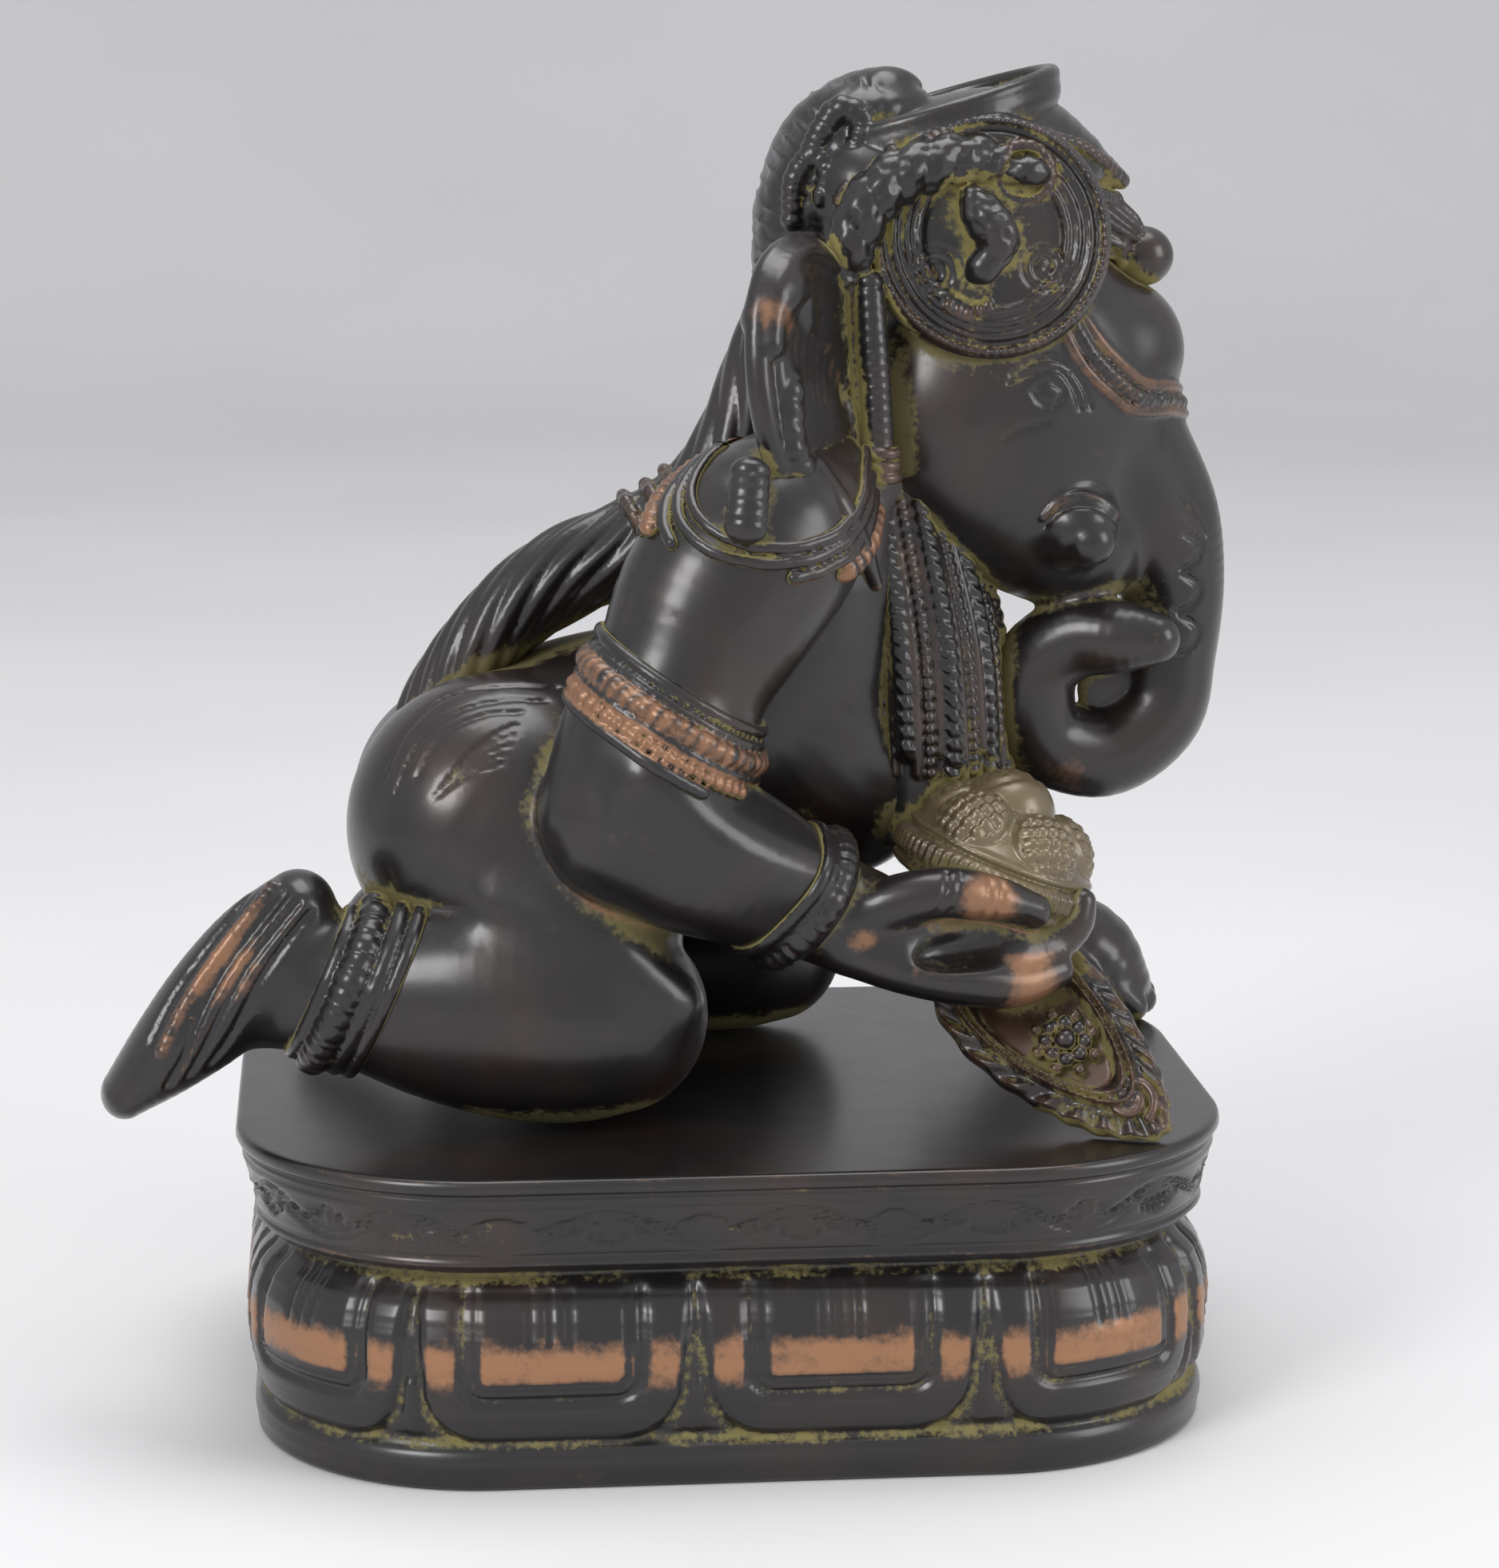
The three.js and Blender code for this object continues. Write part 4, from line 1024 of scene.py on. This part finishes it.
ROPE = twisted(2.3, 1, 0.34)
RIBS = ribbed(2.1, 0.42)
ring_round(bands_wax, (3, -33, 160), (0.12, -0.563, 0.817), 21,
           ((-2.2, 1.0, 0.1, None), (0, 1.7, 0.3, ROPE), (2.4, 1.2, 0.2, None), (4.4, 1.1, 0.2, None),
            (6.2, 1.1, 0.2, None)))
ring_round(bands_wax, (-12, -41, 127.6), (0.527, -0.039, 0.849), 20,
           ((4.8, 1.2, 0.2, None), (2.6, 1.0, 0.2, None), (0, 1.8, 0.4, ROPE), (-2.6, 1.1, 0.3, None),
            (-4.6, 0.9, 0.3, RIBS),
            (-6.8, 1.2, 0.2, None)))
ring_round(bands_wax, (10.6, -38.5, 95.6), (0.80, 0.2, -0.57), 14,
           ((-3.6, 1.2, 0.2, None), (-1.8, 1.1, 0.3, None), (0.8, 2.3, 0.5, RIBS), (3.4, 1.2, 0.1, None)))
ring_round(bands_wax, (24, 31, 146), (0.42, 0.16, -0.89), 19,
           ((-4, 1.1, 0.2, None), (-1.8, 1.1, 0.2, None), (0.6, 1.7, 0.3, ROPE), (3, 1.1, 0.2, None)))
ring_round(bands_wax, (41, 37.5, 113), (0.4, 0.15, -0.9), 16,
           ((-4, 1.1, 0.2, None), (-1.6, 1.6, 0.3, ROPE), (1, 1.1, 0.2, None), (3.2, 1.1, 0.2, None)))
ring_round(bands_wax, (53, 40, 83), (0.42, 0, -0.9), 14,
           ((-3.2, 1.1, 0.2, None), (-0.8, 2.1, 0.4, RIBS), (1.8, 1.1, 0.1, None)))
ring_round(near_rings, (-64, -30, 79), (0.912, 0, -0.41), 22,
           ((-5.4, 1.5, -0.2, None), (-1.8, 2.7, 0.5, RIBS), (2.0, 1.7, 0.3, None), (4.6, 1.3, 0.2, None)))
ring_round(far_rings, (-46.5, 36, 76), (1, 0, -0.1), 20,
           ((-3.6, 1.4, 0, None), (-0.4, 2.3, 0.5, RIBS), (2.8, 1.3, 0.2, None)))
bands_wax.strand([(1, -49.4, 167, 3.0, 2.4), (0.4, -52, 162, 3.2, 2.6), (0, -52.8, 158.4, 3.4, 2.4)],
                 relief=ribbed(1.8, 0.4),
                 side=(1, 0, 0), step=1)
bangles = cast(bands_wax, "armlets_and_bracelets", 100000)
bangles.data.materials.append(patina("band_patina", residue=0.8, rub=0.75))
for wax, name in ((near_rings, "right_anklet"), (far_rings, "left_anklet")):
    anklet = cast(wax, name, 28000)
    anklet.data.materials.append(patina(name + "_patina", residue=0.8, rub=0.75))


# The bowl of sweets, tipped forward on the right palm: a shallow bowl with a ribbed rim, heaped with
# round sweets, each one cross-hatched with the chasing tool.
BOWL_MIDDLE = (45.5, -24, 95.5)
BOWL_AXIS = np.array([0.373, 0, 0.928])
BOWL_ACROSS = np.array([0.928, 0, -0.373])
SWEET = 8.3
bowl_wax = Wax((22, -46, 80), (70, -2, 120), 0.38)
bowl_profile = np.array([[-9, 0.5], [-8.4, 8], [-5.5, 13.6], [-4.4, 16.6], [-3.4, 17.5], [-2.6, 16.9],
                         [-2.0, 17.4], [-1.2, 18.0],
                         [1.2, 18.0], [1.9, 17.2], [2.6, 16.0], [3.2, 16.8], [3.8, 16.6], [4.6, 15.0],
                         [8, 11.4], [11, 3]])


def bowl_form(u, v, w):
    r = np.hypot(v, w)
    ribs = 0.28 * np.cos(66 * np.arctan2(w, v)) * within(u, -1.7, 1.7, 0.5)
    return np.maximum((r - np.interp(u, bowl_profile[:, 0], bowl_profile[:, 1]) - ribs) * 0.75,
                      np.maximum(u - 11, -9 - u))


bowl_wax.form(BOWL_MIDDLE, BOWL_AXIS, BOWL_ACROSS, 20, bowl_form)


def hatched(u, v, w):
    r = np.sqrt(u * u + v * v + w * w)
    lines = groove((v + w) * 0.7071 % 2.3 - 1.15, 0.9, 0.5) + groove((v - w) * 0.7071 % 2.3 - 1.15, 0.9,
                                                                     0.5)
    outline = groove(np.hypot(v, w) - 6.9, 0.9, 0.6)
    return r - SWEET - (lines * within(np.hypot(v, w), -1, 6.0, 0.5) + outline) * within(u, 1.0, 20, 1.5)


heap = [(-1.15 + k * math.pi / 2.5, 8.2, 4.6) for k in range(5)] + [(2.4, 1.6, 9.2)]
for angle, out, lift in heap:
    outward = BOWL_ACROSS * math.cos(angle) + np.array([0, 1, 0]) * math.sin(angle)
    at = np.array(BOWL_MIDDLE) + outward * out + BOWL_AXIS * lift
    bowl_wax.form(at, outward * 0.9 + BOWL_AXIS * 0.8, (0.3, 1, 0.2), SWEET + 2, hatched)
bowl = cast(bowl_wax, "bowl_of_sweets", 64000)
bowl.data.materials.append(patina("sweets_patina", residue=0.6, rub=0.6,
                                  residue_colour=(0.17, 0.15, 0.05, 1),
                                  rub_colour=(0.20, 0.155, 0.085, 1), base=(0.150, 0.112, 0.058, 1)))


# The offering dish leans from the palm to the plinth: a leaf-shaped plate with a scrolled flange,
# a raised double rim, and a beaded flower and a rosette in its hollow.
DISH_MIDDLE = (53.8, -38.4, 70)
DISH_ALONG = (0.63, -0.54, -0.56)
DISH_ACROSS = (0.72, 0.2, 0.62)
DISH_HALF_LENGTH = 26.3
DISH_HALF_WIDTH = 12.7
dish_wax = Wax((26, -60, SEAT - 0.6), (80, -16, 94), 0.38)


def leaf(u, v):
    """How far out a point is in the leaf outline: 0 in its middle and 1 at its edge."""
    out = np.hypot(u / DISH_HALF_LENGTH, v / DISH_HALF_WIDTH) + 1e-4
    for _ in range(3):
        waist = 1 - 0.28 * np.clip(u / (DISH_HALF_LENGTH * out), -1, 1)
        out = np.hypot(u / DISH_HALF_LENGTH, v / (DISH_HALF_WIDTH * waist)) + 1e-4
    return out


def dish_form(u, v, w):
    edge = leaf(u, v)
    inner = leaf(u + 1.8, v * 1.04)
    run = np.arctan2(v / DISH_HALF_WIDTH, u / DISH_HALF_LENGTH)
    scrolls = 0.7 * np.cos(22 * run + 14 * edge) * within(edge, 0.80, 0.98, 0.05)
    top = 1.4 + scrolls * 0.8 - 1.2 * within(edge, 0.985, 9, 0.05)
    top = top + 2.4 * np.exp(-((inner - 0.76) / 0.030) ** 2) + 2.0 * np.exp(-((inner - 0.67) / 0.030) ** 2)
    top = top - 2.2 * (1 - within(inner, 0.60, 9, 0.12))
    rope = 0.25 * np.cos(70 * run) * np.exp(-((inner - 0.76) / 0.03) ** 2)
    side = (edge - 1) * DISH_HALF_WIDTH * 0.8 + 0.16 * np.cos(22 * run)
    return np.maximum(np.maximum((w - top - rope) * 0.7, -w - 2.1), side)


dish_wax.form(DISH_MIDDLE, DISH_ALONG, DISH_ACROSS, 29, dish_form)
dish_along, dish_across, dish_out = square_to(DISH_ALONG, DISH_ACROSS)


def on_dish(u, v, w):
    return np.array(DISH_MIDDLE) + dish_along * u + dish_across * v + dish_out * w


for k in range(8):
    turn = k * math.pi / 4
    dish_wax.ball(on_dish(3 + 3.4 * math.cos(turn), 3.2 * math.sin(turn), 1.4), 1.35, 0.2)
    dish_wax.ball(on_dish(3 + 5.6 * math.cos(turn + 0.4), 4.9 * math.sin(turn + 0.4), 0.8), 1.1, 0.2)
dish_wax.ball(on_dish(3, 0, 2.2), 1.9, 0.2)
for u, v in ((-9, -1.6), (-11.4, 0.4), (-9.4, 2.2), (-12.6, -2), (-7.4, 0.6)):
    dish_wax.ball(on_dish(u, v, 1.2), 1.25, 0.2)
for turns, first in ((1.6, 4.4), (1.0, 2.0)):
    spiral = [on_dish(18.4 + r * math.cos(a), r * math.sin(a), 2.0) for r, a in
              zip(np.linspace(first, 0.8, 30), np.linspace(0, turns * 2 * np.pi, 30))]
    dish_wax.strand(sized(spiral, 0.8), soft=0.2)
dish_wax.trim(SEAT)
dish = cast(dish_wax, "offering_dish", 54000)
dish.data.materials.append(patina("dish_patina", residue=0.7, rub=0.22))


# Handling and age show on every part alike: residue lies where the surface is hollow or close to another,
# and the patina is thinnest where it stands out. Both are measured from all the waxes together.
def nearest(points):
    least = points[:, 2] - PLINTH_TOP
    least = np.where((abs(points[:, 0]) < HALF_LENGTH) & (abs(points[:, 1]) < HALF_DEPTH), least, FAR)
    for wax in waxes.values():
        top = wax.low + wax.grain * (np.array(wax.field.shape) - 2)
        inside = np.flatnonzero(np.all((points > wax.low) & (points < top), axis=1))
        least[inside] = np.minimum(least[inside], wax.at(points[inside]))
    return least


# Where hands have rubbed the brass, as a middle, a reach and how much: fingers, trunk, ear, foot and knee
HANDLED = (((41, -46, 95), 8, 1.0), ((49, -42, 79), 9, 0.9), ((20, -45, 88), 5, 0.9),
           ((60, -9, 107), 10, 0.55),
           ((75, -15, 134), 5, 0.7), ((5, -42, 192), 6, 0.8), ((-86, -40, 84), 8, 0.4),
           ((8, -46, 96), 6, 0.35))
RINGED = ("armlets_and_bracelets", "right_anklet", "left_anklet")
for name, wax in waxes.items():
    data = bpy.data.objects[name].data
    points = np.empty(len(data.vertices) * 3, np.float32)
    normals = np.empty(len(data.vertices) * 3, np.float32)
    data.vertices.foreach_get("co", points)
    data.vertex_normals.foreach_get("vector", normals)
    points = points.reshape(-1, 3).astype(float) / MM
    normals = normals.reshape(-1, 3).astype(float)
    tight = 1 - nearest(points + normals * 1.3) / 1.3
    wide = 1 - nearest(points + normals * 5) / 5
    mark(bpy.data.objects[name], "hollow", np.clip(0.45 * tight + 0.75 * wide, 0, 1.2))
    worn = np.clip(1 + wax.at(points - normals * 1.6) / 1.6, 0, 1)
    if name in RINGED:
        rings = np.vstack(rubbed_rings)
        gap = np.concatenate([np.linalg.norm(some[:, None] - rings,
                                             axis=2).min(1) for some in np.array_split(points, 60)])
        worn = 0.2 * worn + 0.9 * within(gap, -1, 2.2, 1.2) * np.clip(1.1 - tight, 0, 1)
    for at, reach, much in HANDLED:
        worn = worn + much * within(np.linalg.norm(points - at, axis=1), -1, 0.6 * reach, 0.8 * reach)
    mark(bpy.data.objects[name], "worn", np.clip(worn, 0, 1))


# Lights, floor and camera
def stage_floor():
    run_back = [(-3.0, 0.0), (1.6, 0.0)]
    bend = [(1.6 + 0.9 * math.sin(a), 0.9 - 0.9 * math.cos(a)) for a in np.linspace(0, math.pi / 2, 16)[1:]]
    section = run_back + bend + [(2.5, 4.0)]
    points = np.array([(side * 6, y, z) for side in (-1, 1) for y, z in section]) / MM
    count = len(section)
    faces = [(i, i + 1, count + i + 1, count + i) for i in range(count - 1)]
    sweep = mesh_piece("backdrop", points, np.array(faces)[:, ::-1])
    paper = Finish("pale_paper")
    tone = paper.noise(300, 2).over(0.3, 0.7)
    paper.feed(paper.shader.inputs["Base Color"], paper.mix(tone, (0.66, 0.655, 0.665, 1),
                                                            (0.69, 0.685, 0.69, 1)))
    paper.shader.inputs["Roughness"].default_value = 0.8
    sweep.data.materials.append(paper.material)


stage_floor()


def facing(direction):
    return Vector(direction).to_track_quat("-Z", "Y").to_euler()


def soft_light(name, at, aim, size, power, colour=(1, 1, 1)):
    lamp = bpy.data.lights.new(name, "AREA")
    lamp.shape = "RECTANGLE"
    lamp.size, lamp.size_y = size
    lamp.energy = power
    lamp.color = colour
    made = bpy.data.objects.new(name, lamp)
    made.location = at
    direction = np.array(aim) - np.array(at)
    made.rotation_euler = facing(direction)
    bpy.context.scene.collection.objects.link(made)


soft_light("overhead", (0.1, 0.1, 1.3), (0, 0, 0.1), (0.9, 0.7), 8)
soft_light("left_window", (-0.9, -1.0, 0.9), (0, 0, 0.12), (0.5, 0.6), 11)
soft_light("right_fill", (1.2, -0.7, 0.6), (0, 0, 0.12), (0.6, 0.8), 7)

world = bpy.data.worlds.new("pale_room")
world.use_nodes = True
world.node_tree.nodes["Background"].inputs["Color"].default_value = (0.9, 0.91, 0.93, 1)
world.node_tree.nodes["Background"].inputs["Strength"].default_value = 0.78
bpy.context.scene.world = world
bpy.context.scene.view_settings.view_transform = "Standard"

CAMERA_AT = (-0.06298, -0.73428, 0.24511)
CAMERA_TOWARD = (0.09129, 0.97854, -0.18473)
LENS = 97.81
lens = bpy.data.cameras.new("camera")
lens.sensor_width = 36
lens.sensor_fit = "AUTO"
lens.lens = LENS
lens.clip_start = 0.01
camera = bpy.data.objects.new("camera", lens)
camera.location = CAMERA_AT
camera.rotation_euler = facing(CAMERA_TOWARD)
bpy.context.scene.collection.objects.link(camera)
bpy.context.scene.camera = camera
